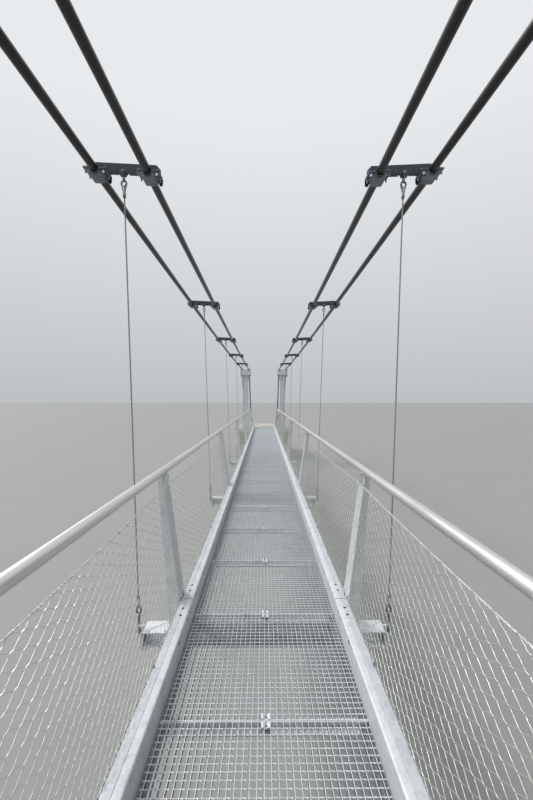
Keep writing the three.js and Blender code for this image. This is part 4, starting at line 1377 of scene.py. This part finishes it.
def tie_plug_tree():
    """Mortar plugs in the tie holes of a concrete face, in rows and columns on the XY plane."""
    tree = Grower("tie_plugs", columns=3, rows=3, pitch=BOARDS.front, rise=BOARDS.rise, radius=0.022)
    plug = tree.cone(18, tree["radius"], tree["radius"] * 0.8, 0.004)
    column = tree.realized(tree.copies(tree.row(tree["rows"], (), (0.0, tree["rise"])), plug))
    return tree.end(tree.copies(tree.row(tree["columns"], (), (tree["pitch"],)), column))


def abutment_details(tree):
    """Board joints and tie plugs on the faces of the north abutment, and a threshold plate on its top."""
    side, front, top, rise = ABUTMENT.side, ABUTMENT.front, ABUTMENT.top, BOARDS.rise
    fin = 0.002
    upright = (0.01, top - 0.01)
    ridges = [(about(x, fin), about(front, fin), upright) for x in about(0, BOARDS.front / 2)]
    for z in (rise, 2 * rise):
        ridges.append((about(0, side - 0.08), about(front, fin), about(z, fin)))
        ridges += [(about(x, fin), (front + 0.08, ABUTMENT.back - 0.01), about(z, fin)) for x in (-side, side)]
    for x in (-side, side):
        ridges += [(about(x, fin), about(front + step * BOARDS.side, fin), upright) for step in (1, 2, 3)]
    parts = [block(CONCRETE, *ridge, bevel=0) for ridge in ridges]
    for way, turned in ((-1, mirrored), (1, moved)):
        origin = (way * side, front + BOARDS.side / 2, rise / 2)
        grid = grown(tree, ZINC_DARK, columns=4, pitch=BOARDS.side)
        parts.append(turned(grid, framed((0, 1, 0), (0, 0, 1), (way, 0, 0), origin)))
    origin = (-BOARDS.front, front, rise / 2)
    parts.append(moved(grown(tree, ZINC_DARK), framed((1, 0, 0), (0, 0, 1), (0, -1, 0), origin)))
    threshold = (DECK_END + 0.006, DECK_END + 0.150)
    parts.append(block(ZINC_DARK, about(0, KERB.inner - 0.006), threshold, (DECK + 0.0004, DECK + 0.0064)))
    return parts


def abutments():
    tree = tie_plug_tree()
    for end, turn in (("north", HERE), ("south", TURNED)):
        details = moved(joined(abutment_details(tree)), turn)
        body = softened(f"abutment_{end}", CONCRETE, 0.010)
        finished(f"concrete_abutment_{end}", [body, details], HERE, f"abutment_{end}")


def studs(spots, radius, height):
    """Anchor studs with their nuts, standing on a base plate."""
    profile = [(0, 0), (radius, 0), (radius, height - 0.004), (radius - 0.003, height), (0, height)]
    parts = [moved(turned_piece(ZINC_BRIGHT, profile, 12), at(*spot)) for spot in spots]
    return [*parts, bolts(ZINC_DARK, [(spot, (0, 0, 1)) for spot in spots], radius * 2.3)]


def gusset_outline(middle, way, near, far):
    """A tapered gusset from the pylon's face out towards its base plate's edge."""
    low = PYLON.plate
    near, far = middle + way * near, middle + way * far
    return [(near, low - 0.002), (far, low - 0.002), (far, low + 0.015), (near, low + 0.200)]


def pylon_details():
    """Studs, gussets and the weld at the foot of the north pylon, and the bolts of its keepers."""
    base_x, base_y = PYLON.base
    foot_x, foot_y = PYLON.foot
    middle_y = PYLON.y
    edge = 0.045
    parts = studs([
        (PAIR_X + x * (base_x - edge), middle_y + y * (base_y - edge), PYLON.plate)
        for x in (-1, 0, 1) for y in (-1, 1)], 0.013, 0.060)
    for way in (-1, 1):
        across = gusset_outline(PAIR_X, way, foot_x - 0.003, base_x - 0.012)
        along = gusset_outline(middle_y, way, foot_y - 0.006, base_y - 0.012)
        for offset in (-0.09, 0.09):
            parts.append(plate(ZINC, across, *about(middle_y + offset, 0.006)))
            parts.append(plate(ZINC, along, *about(PAIR_X + offset, 0.006), "YZ"))
    around = ((-1, -1), (1, -1), (1, 1), (-1, 1), (-1, -1))
    weld = [(PAIR_X + x * foot_x, middle_y + y * foot_y, PYLON.plate + 0.001) for x, y in around]
    parts.append(bar(ZINC_DARK, weld, 0.006, 6))
    y, z = saddle_point(KEEPER.lean)
    across, up = KEEPER.slope
    spots = [
        ((way * across, along, up), (way * 0.75, 0, 0.66)) for way in (-1, 1) for along in (-0.035, 0.035)]
    for x, rise in zip(CABLE_X, CABLE_RISE):
        turn = at(x, y, z + rise) @ Matrix.Rotation(-KEEPER.lean, 4, "X")
        parts.append(moved(bolts(ZINC_BRIGHT, spots, 0.013), turn))
    return joined(parts)


def anchor_details():
    """Studs and gussets of the north anchor."""
    pin_y = cable_path(PAIR_X, 0)[-1].y
    low, high = ANCHOR_PLATE - 0.002, 0.150
    spots = [(PAIR_X + x, pin_y + y, ANCHOR_PLATE) for x in (-0.29, 0.0, 0.29) for y in (-0.25, 0.21)]
    parts = studs(spots, 0.012, 0.055)
    for x in CABLE_X:
        for way in (-1, 1):
            near, far = x + way * 0.021, x + way * 0.100
            gusset = [(near, low), (far, low), (far, low + 0.012), (x + way * 0.030, high), (near, high)]
            parts.append(plate(ZINC, gusset, *about(pin_y - 0.060, 0.006)))
    return joined(parts)


def pylons_and_anchors():
    """Each from its north end's details, mirrored where its end lies the other way before it is turned."""
    southwards = Matrix.Scale(-1, 4, (0, 1, 0))
    kinds = (("pylon", "tower", pylon_details()), ("anchor", "backstay_anchor", anchor_details()))
    for node, name, details in kinds:
        for side, end, place, way in four_ends():
            trim = copied(details) if way > 0 else mirrored(copied(details), southwards)
            parts = [softened(f"{node}_{side}_{end}", ZINC, 0.004), moved(trim, place)]
            finished(f"{name}_{side}_{end}", parts, HERE, f"{node}_{side}_{end}")
        dropped(details)


abutments()
pylons_and_anchors()
